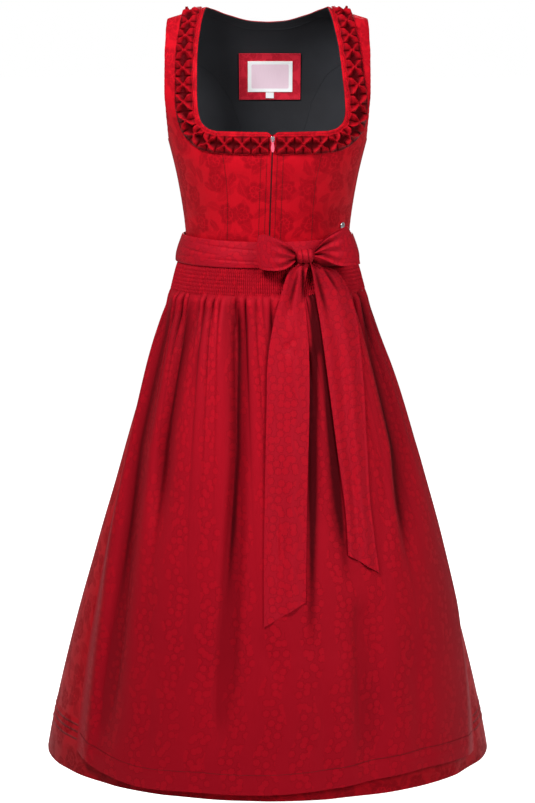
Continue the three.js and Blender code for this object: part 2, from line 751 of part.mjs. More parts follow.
function apronSheet() {
  const rowsAt = (isOuter) => apronRows.map((row) => evenShares(row.spaces).map((share, i) => {
    const drop = (readColumn(apronHem, "z", share) - apronHemLevel) * smoothstep(-row.z, 800, 1046);
    const z = row.z + drop;
    const left = readColumn(apronEdges, "left", z);
    const right = readColumn(apronEdges, "right", z);
    const theta = lerp(left, right, share) * degrees;
    const x = readColumn(skirtProfile, "half", z) * Math.sin(theta);
    const nearEdge = smoothstep(Math.min(share, 1 - share), 0, 0.08);
    const pleat = row.pleat * pleatHeight * (i % 2) * nearEdge;
    const rise = apronRise(share, x, z);
    return skirtPoint(theta, z, isOuter ? rise + pleat : rise - clothWall);
  }));
  return sheetFromRows(rowsAt(true), rowsAt(false));
}

addPiece("apron", closeWall(apronSheet()), "apron");

// The tie is wound round the waist over the apron's head.
const wrapRows = table(
  ["z", "half"],
  [[-351.5, 129.5], [-343, 128.8], [-334, 126.4], [-325, 123], [-316.5, 119.6]],
);
const wrapSideRise = 2.5;

function wrapPoint(theta, row, offset) {
  const side = Math.sin(theta) ** 2;
  const isTop = (row.z + 351.5) / 35;
  const z = row.z + wrapSideRise * side * isTop;
  const half = row.half + offset;
  const depth = row.half * depthToWidth + 1.5 + offset;
  return new THREE.Vector3(half * Math.sin(theta), -depth * Math.cos(theta), z);
}

const wrapStretches = table(
  ["from", "to", "spaces"],
  [[-90, 90, 22], [90, 270, 20]],
);
["tie_wrap_front", "tie_wrap_back"].forEach((name, i) => {
  const stretch = wrapStretches[i];
  const inset = (seamGap / 2 / 120) / degrees;
  const rowsAt = (offset) => wrapRows.map((row) => evenShares(stretch.spaces).map((share) => {
    const angle = lerp(stretch.from + inset, stretch.to - inset, share);
    return wrapPoint(angle * degrees, row, offset);
  }));
  addPiece(name, closeWall(sheetFromRows(rowsAt(0), rowsAt(-wrapWall))), "apron");
});

// The bow: a knot, two loops that stand open beside it and two tails that hang from it.
const knot = { x: 51, z: -334.2, halfX: 12.2, halfZ: 9.2, halfY: 10.5 };
const knotRidges = 3;
const wrapFaceAtKnot = (() => {
  const half = readColumn(wrapRows, "half", knot.z);
  return (half * depthToWidth + 1.5) * Math.sqrt(1 - (knot.x / half) ** 2);
})();
knot.y = -wrapFaceAtKnot - knot.halfY - 2.6;

function knotGeometry() {
  const [rings, sides] = [9, 16];
  const points = [new THREE.Vector3(knot.x - knot.halfX, knot.y, knot.z)];
  const faces = [];
  for (let ring = 0; ring <= rings; ring += 1) {
    const t = lerp(-1, 1, ring / rings);
    const ridge = 1 + 0.05 * Math.cos(Math.PI * knotRidges * t);
    const girth = (1 - 0.5 * Math.abs(t) ** 6) * ridge;
    for (let i = 0; i < sides; i += 1) {
      const angle = (2 * Math.PI * i) / sides;
      points.push(new THREE.Vector3(
        knot.x + knot.halfX * t,
        knot.y + knot.halfY * girth * Math.cos(angle),
        knot.z + knot.halfZ * girth * Math.sin(angle)));
    }
  }
  points.push(new THREE.Vector3(knot.x + knot.halfX, knot.y, knot.z));
  const end = points.length - 1;
  for (let i = 0; i < sides; i += 1) {
    const next = (i + 1) % sides;
    faces.push([0, 1 + next, 1 + i], [end, end - sides + i, end - sides + next]);
    for (let ring = 0; ring < rings; ring += 1) {
      const [a, b] = [1 + ring * sides + i, 1 + ring * sides + next];
      faces.push([a, b, a + sides], [b, b + sides, a + sides]);
    }
  }
  return meshGeometry(points, faces);
}

addPiece("bow_knot", knotGeometry(), "apron");

// A loop is seen from the front between its top and bottom edges. Its near leaf runs from
// the knot to the end fold, and its far leaf runs back behind it.
const loopColumns = ["reach", "topX", "topZ", "bottomX", "bottomZ", "nearY", "farY"];
const loops = {
  left: table(loopColumns, [
    [0, 38, -327.5, 38, -341, -113, -107],
    [0.2, 31, -320, 31, -346.5, -119, -107],
    [0.45, 20, -313.5, 20, -351.5, -124, -109],
    [0.7, 6, -307.5, 5, -352.5, -125, -111],
    [0.9, -6, -304.5, -6, -351.5, -121.5, -113],
    [1, -13, -306, -11, -350.5, -117.5, -117],
  ]),
  right: table(loopColumns, [
    [0, 64, -326, 64, -334, -112, -106],
    [0.2, 76, -312.5, 76, -337.5, -116, -101],
    [0.5, 94, -301.5, 95, -346, -115, -91],
    [0.75, 103, -298, 111, -347.5, -108, -84],
    [0.92, 109, -296.5, 122, -347.5, -98, -82],
    [1, 111, -298, 127, -347, -90, -88],
  ]),
};
const loopGathers = 2.2;

function loopSheet(rows, endBulge) {
  const [leafSteps, acrossSteps] = [6, 6];
  const pathAt = (step) => {
    const isNear = step <= leafSteps;
    const part = isNear ? step / leafSteps : (2 * leafSteps - step) / leafSteps;
    return { reach: Math.sin(part * Math.PI / 2), isNear };
  };
  const pointAt = (step, across, inward) => {
    const { reach, isNear } = pathAt(step);
    const read = (column) => readColumn(rows, column, reach);
    const bulge = endBulge * Math.sin(Math.PI * across) * reach ** 6;
    const gather = loopGathers * (1 - smoothstep(reach, 0.1, 0.6)) * Math.cos(4 * Math.PI * across);
    const x = lerp(read("bottomX"), read("topX"), across) + bulge;
    const nearer = (read("nearY") + read("farY")) / 2 + (isNear ? -1 : 1) * inward;
    const half = (read("farY") - read("nearY")) / 2;
    const y = nearer + (isNear ? -half : half) - gather * 0.5;
    return new THREE.Vector3(x, y, lerp(read("bottomZ"), read("topZ"), across));
  };
  const rowsAt = (inward) => Array.from({ length: 2 * leafSteps + 1 }, (unused, step) => (
    evenShares(acrossSteps).map((across) => pointAt(step, across, step === leafSteps ? 0 : inward))));
  const outerRows = rowsAt(0);
  const innerRows = rowsAt(-bowWall);
  const outwards = Math.sign(rows[rows.length - 1].topX - rows[0].topX);
  innerRows[leafSteps].forEach((point) => { point.x -= outwards * bowWall; });
  return sheetFromRows(outerRows, innerRows);
}

addPiece("bow_loop_left", closeWall(loopSheet(loops.left, -3)), "apron");
addPiece("bow_loop_right", closeWall(loopSheet(loops.right, 2.5)), "apron");

// A tail hangs over the apron between a left and a right edge, with a lift from the skirt.
const tailColumns = ["leftX", "leftZ", "rightX", "rightZ", "lift"];
const tails = {
  left: table(tailColumns, [
    [43, -344.2, 57, -344.2, 19],
    [29.5, -354, 54, -354, 17.5],
    [22.4, -372, 51.5, -372, 15],
    [17, -392, 50.5, -390, 13.5],
    [9, -420, 53, -420, 14],
    [0.4, -473, 56.5, -465, 14.5],
    [-1.4, -542, 56.8, -540, 15],
    [-3.4, -645, 54, -640, 14.5],
    [-5, -740, 52.6, -720, 13],
    [-4.7, -823.6, 52, -791.8, 12],
  ]),
  right: table(tailColumns, [
    [57.6, -343.9, 66, -344.4, 20.5],
    [61, -354, 92, -355, 20],
    [63, -365, 102, -366, 17.5],
    [65, -378, 109, -378, 15],
    [67, -394, 114.5, -394, 14],
    [73, -430, 124, -430, 14],
    [83.4, -505, 131.6, -505, 15],
    [94.3, -588, 136, -588, 15],
    [106, -672, 141, -672, 14.5],
    [110, -733.5, 152.7, -761, 13.5],
  ]),
};
const tailCrease = 2.2;

function tailSheet(rows) {
  const columns = 5;
  const rowsAt = (inward) => rows.map((row) => evenShares(columns).map((share) => {
    const x = lerp(row.leftX, row.rightX, share);
    const z = lerp(row.leftZ, row.rightZ, share);
    const crease = tailCrease * Math.sin(Math.PI * share) * Math.cos(3 * Math.PI * share);
    const half = readColumn(skirtProfile, "half", z);
    const lift = row.lift + crease - inward;
    const theta = Math.asin(x / (half + lift));
    return skirtPoint(theta, z, lift);
  }));
  return sheetFromRows(rowsAt(0), rowsAt(tailWall));
}

addPiece("bow_tail_left", closeWall(tailSheet(tails.left)), "apron");
addPiece("bow_tail_right", closeWall(tailSheet(tails.right)), "apron");

export default dirndl;
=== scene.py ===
import math

import bpy
import numpy as np
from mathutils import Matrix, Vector


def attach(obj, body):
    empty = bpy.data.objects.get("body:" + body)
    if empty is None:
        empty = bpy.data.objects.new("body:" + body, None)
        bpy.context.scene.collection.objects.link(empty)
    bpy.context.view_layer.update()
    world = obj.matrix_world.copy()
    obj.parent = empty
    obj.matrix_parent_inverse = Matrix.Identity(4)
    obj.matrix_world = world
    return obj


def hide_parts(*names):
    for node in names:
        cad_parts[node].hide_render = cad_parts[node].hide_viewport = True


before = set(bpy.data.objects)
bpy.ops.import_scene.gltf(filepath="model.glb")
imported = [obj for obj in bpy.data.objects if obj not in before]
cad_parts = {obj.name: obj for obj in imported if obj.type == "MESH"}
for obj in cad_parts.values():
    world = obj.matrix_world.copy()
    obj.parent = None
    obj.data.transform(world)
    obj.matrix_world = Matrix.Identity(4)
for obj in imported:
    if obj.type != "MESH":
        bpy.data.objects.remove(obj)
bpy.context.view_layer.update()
print("frame loaded")

# Lengths are in millimetres until a mesh is made, with the frame's own axes: -Y is the front.
metre = 0.001
turn = 2 * math.pi
scene = bpy.context.scene
rng = np.random.default_rng(12)


def smooth(x, low, high):
    # The S-shaped ramp from 0 at low to 1 at high.
    t = np.clip((x - low) / (high - low), 0, 1)
    return t * t * (3 - 2 * t)


def mix(a, b, t):
    return a + (b - a) * t


def unit(vectors):
    return vectors / np.linalg.norm(vectors, axis=-1, keepdims=True)


def stacked(*parts):
    return np.stack(np.broadcast_arrays(*parts), -1)


def pathReach(path):
    # The distance of each point along the line from its first one.
    return np.concatenate([[0], np.cumsum(np.linalg.norm(np.diff(path, axis=0), axis=1))])


def resample(path, reach, at):
    return np.stack([np.interp(at, reach, column) for column in path.T], -1)


def table(names, rows):
    columns = np.array(rows, float).T
    return dict(zip(names.split(), columns))


def readColumn(rows, column, at):
    # A cubic through the rows whose slope at a row is that of the line between its neighbours.
    keys, values = next(iter(rows.values())), rows[column]
    at = np.asarray(at, float)
    last = len(keys) - 1
    before = np.maximum(np.arange(last + 1) - 1, 0)
    after = np.minimum(np.arange(last + 1) + 1, last)
    slopes = (values[after] - values[before]) / (keys[after] - keys[before])
    high = np.clip(np.searchsorted(keys, at), 1, last)
    low = high - 1
    span = keys[high] - keys[low]
    t = np.clip((at - keys[low]) / span, 0, 1)
    leave = slopes[low] * span * t * (1 - t) ** 2
    arrive = slopes[high] * span * t * t * (1 - t)
    return mix(values[low], values[high], t * t * (3 - 2 * t)) + leave - arrive


def readAll(rows, names, at):
    return [readColumn(rows, name, at) for name in names.split()]


def camel(node):
    first, *rest = node.split("_")
    return first + "".join(word.capitalize() for word in rest)


# Meshes from grids of points.

sharpAngle = math.radians(68)


def gridCorners(rows, cols, wrap):
    # The four corners of every square of a grid, the last column joining the first in a ring.
    i, j = np.meshgrid(np.arange(rows - 1), np.arange(cols if wrap else cols - 1), indexing="ij")
    ways = [(0, 0), (0, 1), (1, 1), (1, 0)]
    return np.stack([i + a for a, b in ways], -1), np.stack([j + b for a, b in ways], -1)


def meshPiece(name, points, faces, uvs=None):
    mesh = bpy.data.meshes.new(name)
    mesh.from_pydata((points * metre).tolist(), [], faces)
    if uvs is not None:
        layer = mesh.uv_layers.new(name="cloth")
        layer.data.foreach_set("uv", np.asarray(uvs * metre, np.float32).ravel())
    mesh.polygons.foreach_set("use_smooth", np.ones(len(mesh.polygons), bool))
    mesh.set_sharp_from_angle(angle=sharpAngle)
    mesh.update()
    piece = bpy.data.objects.new(name, mesh)
    scene.collection.objects.link(piece)
    return piece


def isInsideOut(points, quads):
    # The signed volume is the sum over the triangles of one corner against the other two.
    a, b, c, d = (points[quads[:, k]] for k in range(4))
    return np.sum(a * np.cross(b, c)) + np.sum(a * np.cross(c, d)) < 0


def shellPiece(name, outer, inner, uv):
    # A closed wall: the outer grid, the inner grid turned round, and a rim between them.
    rows, cols = outer.shape[:2]
    count = rows * cols
    points = np.concatenate([outer.reshape(-1, 3), inner.reshape(-1, 3)])
    index = np.arange(count).reshape(rows, cols)
    i, j = gridCorners(rows, cols, False)
    quads = index[i, j].reshape(-1, 4)
    rimLoop = np.concatenate([index[0], index[1:, -1], index[-1, -2::-1], index[-2:0:-1, 0]])
    ahead = np.roll(rimLoop, -1)
    rim = np.stack([ahead, rimLoop, rimLoop + count, ahead + count], -1)
    faces = np.concatenate([quads, quads[:, ::-1] + count, rim])
    if isInsideOut(points, faces):
        faces = faces[:, ::-1]
    flat = uv.reshape(-1, 2)
    return meshPiece(name, points, faces.tolist(), np.concatenate([flat, flat])[faces.ravel()])


def outwardFaces(points, quads, caps):
    # Squares and end faces as lists, all turned over where the squares face inward.
    way = -1 if isInsideOut(points, quads) else 1
    return [face[::way] for face in quads.tolist() + caps]


def clothLengths(points):
    # Each point's distance along the cloth, across and down, summed square by square.
    across = np.linalg.norm(np.diff(points, axis=1), axis=2)
    down = np.linalg.norm(np.diff(points, axis=0), axis=2)
    u = np.concatenate([np.zeros((len(points), 1)), np.cumsum(across, 1)], 1)
    v = np.concatenate([np.zeros((1, points.shape[1])), np.cumsum(down, 0)], 0)
    return np.stack([u - u.mean(1, keepdims=True), v], -1)


def surfaceArea(points):
    # Half the cross product of each square's diagonals.
    one = points[1:, 1:] - points[:-1, :-1]
    two = points[1:, :-1] - points[:-1, 1:]
    return np.linalg.norm(np.cross(one, two), axis=2).sum() / 2


def dress(piece, finish, node, slotName, body="dress"):
    piece.data.materials.append(finishes[finish])
    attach(piece, body)
    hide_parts(node)
    return piece


def clothPiece(node, outer, inner, uv, finish, slotName, hollow=None, name=None):
    piece = shellPiece(name or camel(node), outer, inner, uv)
    # Painted shade, where given, is kept on the piece for its material to darken.
    if hollow is not None:
        paintShade(piece, hollow)
    return dress(piece, finish, node, slotName)


def asSheet(piece, points, fullness=1.0, flat=None):
    # The cut is as wide and as long as the laid cloth, times its fullness across.
    lengths = clothLengths(points)
    width = (lengths[:, -1, 0] - lengths[:, 0, 0]).max() * fullness * metre
    length = lengths[-1, :, 1].max() * metre
    area = None
    if flat is None:
        flat = (width, length)
        area = surfaceArea(points) * fullness * metre**2
        area = float(np.clip(area, 0.3 * width * length, width * length))
    print(f"{piece.name}: cut {flat[0] * 1000:.0f} x {flat[1] * 1000:.0f} mm, area {area}")


# Soft creases: each runs between two places, with a half-width and a depth that fades at
# both ends. A negative depth is a ridge.

def creaseDepth(creases, x, z):
    # A bell across the line times a half sine along it.
    total = np.zeros_like(x)
    for x0, z0, x1, z1, width, depth in creases:
        dx, dz = x1 - x0, z1 - z0
        length = math.hypot(dx, dz)
        along = ((x - x0) * dx + (z - z0) * dz) / length**2
        away = ((x - x0) * dz - (z - z0) * dx) / length
        fade = np.sin(math.pi * np.clip(along, 0, 1)) ** 0.8
        total += depth * fade * np.exp(-((away / width) ** 2))
    return total


# Shader arithmetic. A number on a socket adds and multiplies like a plain one, and every sum
# becomes a math node of its tree.

def wire(value, socket):
    value = getattr(value, "socket", value)
    if isinstance(value, bpy.types.NodeSocket):
        socket.id_data.links.new(value, socket)
    else:
        socket.default_value = value


class Number:
    def __init__(self, socket):
        self.socket = socket

    def math(self, operation, *others):
        return Tree(self.socket.id_data).math(operation, self, *others)

    def __add__(self, other):
        return self.math("ADD", other)

    def __sub__(self, other):
        return self.math("SUBTRACT", other)

    def __rsub__(self, other):
        return Tree(self.socket.id_data).math("SUBTRACT", other, self)

    def __mul__(self, other):
        return self.math("MULTIPLY", other)

    def __truediv__(self, other):
        return self.math("DIVIDE", other)

    def __rtruediv__(self, other):
        return Tree(self.socket.id_data).math("DIVIDE", other, self)

    def __abs__(self):
        return self.math("ABSOLUTE")


def least(a, b):
    return a.math("MINIMUM", b)


def most(a, b):
    return a.math("MAXIMUM", b)


class Tree:
    def __init__(self, tree):
        self.tree = tree

    def node(self, kind, values, **settings):
        # A new node with its settings, and its inputs by name or place.
        node = self.tree.nodes.new(kind)
        for key, value in settings.items():
            setattr(node, key, value)
        for key, value in values.items():
            wire(value, node.inputs[key])
        return node

    def math(self, operation, *values):
        node = self.node("ShaderNodeMath", dict(enumerate(values)), operation=operation)
        return Number(node.outputs[0])

    def vector(self, operation, *values):
        node = self.node("ShaderNodeVectorMath", dict(enumerate(values)), operation=operation)
        return Number(node.outputs[1 if operation == "LENGTH" else 0])

    def split(self, value):
        node = self.node("ShaderNodeSeparateXYZ", {0: value})
        return [Number(output) for output in node.outputs]

    def join(self, x, y):
        return Number(self.node("ShaderNodeCombineXYZ", {0: x, 1: y}).outputs[0])

    def ramp(self, value, low, high, toLow=0.0, toHigh=1.0):
        values = {"Value": value, "From Min": low, "From Max": high, "To Min": toLow,
                  "To Max": toHigh}
        node = self.node("ShaderNodeMapRange", values, interpolation_type="SMOOTHSTEP")
        return Number(node.outputs[0])

    def noise(self, value, scale, detail=2.0):
        values = {"Vector": value, "Scale": scale, "Detail": detail, "Roughness": 0.5}
        return Number(self.node("ShaderNodeTexNoise", values).outputs[0])

    def blend(self, share, a, b):
        node = self.node("ShaderNodeMix", {}, data_type="RGBA")
        for value, place in ((share, 0), (a, 6), (b, 7)):
            wire(value, node.inputs[place])
        return Number(node.outputs[2])

    def cell(self, place, scale, looseness):
        # The place inside its cell of a loose net, in cells, and three random numbers there.
        values = {"Vector": place, "Scale": scale, "Randomness": looseness}
        net = self.node("ShaderNodeTexVoronoi", values, voronoi_dimensions="2D").outputs
        away = self.vector("SUBTRACT", place, net["Position"])
        x, y, unused = self.split(self.vector("MULTIPLY", away, self.join(scale, scale)))
        return x, y, self.split(net["Color"])

    def use(self, group, **values):
        node = self.node("ShaderNodeGroup", {}, node_tree=group)
        for label, value in values.items():
            wire(value, node.inputs[label.replace("_", " ")])
        return {output.name: Number(output) for output in node.outputs}

    def bump(self, shader, height, distance, strength):
        values = {"Strength": strength, "Distance": distance, "Height": height}
        wire(self.node("ShaderNodeBump", values).outputs[0], shader.inputs["Normal"])


def newGroup(name, inputs, outputs):
    group = bpy.data.node_groups.new(name, "ShaderNodeTree")
    group.interface.new_socket("Cloth", in_out="INPUT", socket_type="NodeSocketVector")
    for label, default in inputs.items():
        socket = group.interface.new_socket(label, in_out="INPUT", socket_type="NodeSocketFloat")
        socket.default_value = default
    for label in outputs:
        group.interface.new_socket(label, in_out="OUTPUT", socket_type="NodeSocketFloat")
    ins = group.nodes.new("NodeGroupInput").outputs
    outs = group.nodes.new("NodeGroupOutput").inputs
    return group, Tree(group), {socket.name: Number(socket) for socket in ins if socket.name}, outs


# Three loose nets: each one's share of the flower's cell, looseness, slide and motif.
jacquardNets = [(1.0, 0.75, 0.0, "flower"), (0.62, 0.85, 0.37, "leaf"), (0.62, 0.9, 0.81, "leaf")]


def leafMotif(s, x, y, spin):
    # The edge is a parabola over the leaf's own bent middle line, finely toothed, with the
    # middle vein and slanting side veins left open.
    cosine, sine = spin.math("COSINE"), spin.math("SINE")
    along = x * cosine + y * sine
    across = abs(y * cosine - x * sine - along * along * 0.45)
    reach = 1.0 - abs(along * 2.2).math("POWER", 2.0)
    teeth = (along * 70.0).math("SINE") * 0.012
    inside = reach * 0.2 + teeth - across
    slant = ((along - across) * 60.0).math("SINE")
    vein = s.ramp(across, 0.01, 0.026) * s.ramp(slant, -1.0, -0.5, 0.4, 1.0)
    return s.ramp(inside, 0.0, 0.02) * most(vein, 0.2), inside


def flowerMotif(s, x, y, spin):
    # The edge is a circle whose radius grows with the size of a sine, seven times round. A
    # ring of the same form and the lines between the petals are left open.
    radius = s.vector("LENGTH", s.join(x, y))
    angle = y.math("ARCTAN2", x) + spin
    petal = abs((angle * 3.5).math("SINE"))
    edge = petal * 0.07 + 0.27
    seam = least(abs(radius - edge * 0.55), petal * radius * 0.5)
    inside = edge - radius
    return s.ramp(inside, 0.0, 0.02) * s.ramp(seam, 0.01, 0.03, 0.15, 1.0), inside


def jacquardGroup():
    # Every cell of the nets holds a flower or a leaf, turned at random, on slightly warped
    # cloth. A thin outline runs just outside each edge.
    group, s, ins, outs = newGroup(
        "leafFlowerJacquard", {"Flower Cell": 0.043}, ["Motif", "Outline"])
    cloth = ins["Cloth"]
    warpX = s.noise(cloth, 55.0) * 0.012 - 0.006
    warpY = s.noise(s.vector("ADD", cloth, (3.1, 1.7, 0.0)), 55.0) * 0.012 - 0.006
    cloth = s.vector("ADD", cloth, s.join(warpX, warpY))
    motifs, lines = [], []
    for share, looseness, slide, kind in jacquardNets:
        place = s.vector("ADD", cloth, (slide, slide * 0.7, 0.0))
        scale = (1.0 / share) / ins["Flower Cell"]
        x, y, random = s.cell(place, scale, looseness)
        draw = leafMotif if kind == "leaf" else flowerMotif
        motif, inside = draw(s, x, y, random[0] * turn)
        motifs.append(motif)
        lines.append(s.ramp(abs(inside + 0.014), 0.004, 0.014, 1.0, 0.0))
    wire(most(most(motifs[0], motifs[1] * 0.85), motifs[2] * 0.5), outs["Motif"])
    wire(most(lines[0], most(lines[1], lines[2])), outs["Outline"])
    return group


def stripeGroup():
    # Small flowers fill wavy upright stripes. Each is drawn in thin rings round a dot, the
    # outer one petalled: its radius swings seven times round.
    settings = {"Flower Pitch": 0.0112, "Stripe Pitch": 0.046, "Stripe Share": 0.31}
    group, s, ins, outs = newGroup("ringFlowerStripes", settings, ["Motif", "Outline"])
    cloth = ins["Cloth"]
    x, y, unused = s.cell(cloth, 1.0 / ins["Flower Pitch"], 0.8)
    radius = s.vector("LENGTH", s.join(x, y))
    petals = (y.math("ARCTAN2", x) * 7.0).math("COSINE")
    inside = petals * 0.045 + 0.4 - radius
    dot = s.ramp(radius, 0.05, 0.1, 1.0, 0.0)
    innerRing = s.ramp(abs(radius - 0.19), 0.02, 0.06, 1.0, 0.0)
    outerRing = s.ramp(abs(inside - 0.05), 0.03, 0.07, 1.0, 0.0)
    drawn = most(most(dot, innerRing), outerRing) * 0.6 + 0.4
    u, v, unused = s.split(cloth)
    wave = (v * (turn / 0.085)).math("SINE") * 0.005
    place = (u + wave + s.noise(cloth, 22.0) * 0.012) / ins["Stripe Pitch"]
    middle = abs((place + 50.0).math("FRACT") - 0.5)
    isStripe = s.ramp(ins["Stripe Share"] - middle, -0.015, 0.02)
    wire(s.ramp(inside, 0.0, 0.05) * drawn * isStripe, outs["Motif"])
    wire(s.ramp(abs(inside + 0.06), 0.02, 0.07, 1.0, 0.0) * isStripe, outs["Outline"])
    return group


def weaveGroup():
    # Fine slanting threads, as a wave across the cloth's diagonal, with slow uneven places.
    group, s, ins, outs = newGroup(
        "satinWeave", {"Thread Pitch": 0.0008}, ["Height", "Slub", "Patch"])
    u, v, unused = s.split(ins["Cloth"])
    steps = turn / ins["Thread Pitch"]
    warp = ((u + v * 0.5) * steps).math("SINE")
    wire(warp * (v * steps).math("SINE") * 0.5 + 0.5, outs["Height"])
    wire(s.noise(s.vector("MULTIPLY", ins["Cloth"], (900.0, 60.0, 1.0)), 1.0, 3.0), outs["Slub"])
    wire(s.noise(ins["Cloth"], 9.0, 3.0), outs["Patch"])
    return group


groups = {"jacquard": jacquardGroup(), "stripes": stripeGroup(), "weave": weaveGroup()}
# Painted shade: the deep red that marked deep places are darkened towards.
paintedShadeRed = (0.022, 0.0003, 0.0008, 1)
# Shares of the motif, its outline, slow shade and threads, and of painted shade in deep places.
dressFinish = {
    "pattern": "jacquard", "options": {}, "motifShare": 0.85, "lineShare": 0.6, "patch": 0.2,
    "slub": 0.1, "hollows": 0.75, "ground": (0.5, 0.0045, 0.0125, 1),
    "motif": (0.29, 0.0026, 0.008, 1), "line": (0.24, 0.002, 0.006, 1), "roughness": 0.48,
    "motifRoughness": 0.12, "specularTint": (1.0, 0.1, 0.14, 1), "sheen": 0.015,
    "sheenRoughness": 0.4, "sheenTint": (1.0, 0.35, 0.38, 1)}
# The patch's ground is a lighter, pinker copy of the dress's: painted light and sheen for the dim
# inside of the back.
patchFinish = dict(dressFinish, ground=(0.62, 0.022, 0.045, 1), motif=(0.42, 0.012, 0.026, 1))
# The trim's ground is the dress's at about three quarters: painted shade for its deep folds.
trimFinish = dict(dressFinish, ground=(0.365, 0.003285, 0.009125, 1), motifShare=0.3,
                  roughness=0.42, hollows=0.92)
apronFinish = {
    "pattern": "stripes", "options": {"Stripe_Share": 0.31}, "motifShare": 0.8,
    "lineShare": 0.55, "patch": 0.22, "slub": 0.12, "hollows": 0.93,
    "ground": (0.32, 0.004, 0.012, 1), "motif": (0.43, 0.0045, 0.0135, 1),
    "line": (0.21, 0.002, 0.006, 1), "roughness": 0.5, "motifRoughness": -0.08,
    "specularTint": (1.0, 0.12, 0.17, 1), "sheen": 0.02, "sheenRoughness": 0.45,
    "sheenTint": (1.0, 0.42, 0.48, 1)}
# The tie's ground is a little pinker than the apron's: painted satin sheen.
tieFinish = dict(apronFinish, ground=(0.31, 0.0052, 0.014, 1), motif=(0.39, 0.0044, 0.0125, 1),
                 line=(0.17, 0.002, 0.006, 1), options={"Stripe_Share": 0.46})


def newMaterial(name, **numbers):
    # The numbers are set on the shader's own sockets.
    material = bpy.data.materials.new(name)
    material.use_nodes = True
    shader = material.node_tree.nodes["Principled BSDF"]
    for label, value in numbers.items():
        shader.inputs[label.replace("_", " ")].default_value = value
    return material, Tree(material.node_tree), shader


def clothUv(s):
    return Number(s.node("ShaderNodeUVMap", {}, uv_map="cloth").outputs[0])


def paintShade(piece, deep):
    # Painted shade: the outer grid takes the given amounts, and the rest of the piece takes none.
    values = np.zeros(len(piece.data.vertices), np.float32)
    values[:deep.size] = np.clip(deep, 0, 1).ravel()
    piece.data.attributes.new("hollow", "FLOAT", "POINT").data.foreach_set("value", values)


def patternedCloth(name, finish):
    # The pattern is laid on the ground, then its outlines, slow shades and threads. Painted
    # shade: deep places between folds are marked on the mesh and darkened towards a deep red.
    material, s, shader = newMaterial(
        name, Specular_IOR_Level=0.16, Specular_Tint=finish["specularTint"],
        Sheen_Weight=finish["sheen"], Sheen_Roughness=finish["sheenRoughness"],
        Sheen_Tint=finish["sheenTint"])
    uv = clothUv(s)
    pattern = s.use(groups[finish["pattern"]], Cloth=uv, **finish["options"])
    weave = s.use(groups["weave"], Cloth=uv)
    colour = finish["ground"]
    for share, over in ((pattern["Motif"] * finish["motifShare"], "motif"),
                        (pattern["Outline"] * finish["lineShare"], "line"),
                        (s.ramp(weave["Patch"], 0.3, 0.7, 0.0, finish["patch"]), "motif"),
                        (s.ramp(weave["Slub"], 0.35, 0.75, 0.0, finish["slub"]), "line")):
        colour = s.blend(share, colour, finish[over])
    hollow = Number(s.node("ShaderNodeAttribute", {}, attribute_name="hollow").outputs["Fac"])
    wire(s.blend(hollow * finish["hollows"], colour, paintedShadeRed), shader.inputs["Base Color"])
    roughness = pattern["Motif"] * finish["motifRoughness"] + finish["roughness"]
    wire(roughness, shader.inputs["Roughness"])
    s.bump(shader, weave["Height"] * 0.6 - pattern["Outline"] * 0.5, 0.0002, 0.5)
    return material


def plainCloth(name, colour, other, roughness, sheen=0.1):
    material, s, shader = newMaterial(name, Sheen_Weight=sheen, Specular_IOR_Level=0.25)
    weave = s.use(groups["weave"], Cloth=clothUv(s))
    tone = s.blend(s.ramp(weave["Patch"], 0.3, 0.7), colour, other)
    tone = s.blend(s.ramp(weave["Slub"], 0.4, 0.8, 0.0, 0.5), tone, other)
    wire(tone, shader.inputs["Base Color"])
    wire(weave["Slub"] * 0.1 + roughness, shader.inputs["Roughness"])
    s.bump(shader, weave["Height"], 0.0002, 0.4)
    return material


def objectNoise(s, scale, detail=3.0):
    return s.noise(s.node("ShaderNodeTexCoord", {}).outputs["Object"], scale, detail)


def metalMaterial(name, colour, dark, roughness, metallic=1.0, coat=0.0):
    material, s, shader = newMaterial(name, Metallic=metallic, Coat_Weight=coat)
    wear = objectNoise(s, 900.0)
    wire(s.blend(s.ramp(wear, 0.35, 0.8, 0.0, 0.7), colour, dark), shader.inputs["Base Color"])
    wire(s.ramp(wear, 0.3, 0.8, roughness, roughness + 0.18), shader.inputs["Roughness"])
    s.bump(shader, wear, 0.00005, 0.3)
    return material


def labelMaterial():
    # The pink field is a rectangle with round corners: the distance past its straight sides
    # is compared with the corner's radius.
    material, s, shader = newMaterial("wovenLabel")
    uv = clothUv(s)
    weave = s.use(groups["weave"], Cloth=uv)
    u, v, unused = s.split(uv)
    pastSide, pastEnd = most(abs(u) - 0.0245, 0.0), most(abs(v - 0.0228) - 0.0152, 0.0)
    border = s.ramp(s.vector("LENGTH", s.join(pastSide, pastEnd)), 0.0022, 0.0027)
    slub = s.ramp(weave["Slub"], 0.3, 0.8, 0.0, 0.4)
    tone = s.blend(slub, (0.86, 0.65, 0.75, 1), (0.8, 0.57, 0.68, 1))
    wire(s.blend(border, tone, (0.95, 0.95, 0.96, 1)), shader.inputs["Base Color"])
    wire(weave["Slub"] * 0.1 + 0.5, shader.inputs["Roughness"])
    s.bump(shader, weave["Height"], 0.0002, 0.4)
    return material


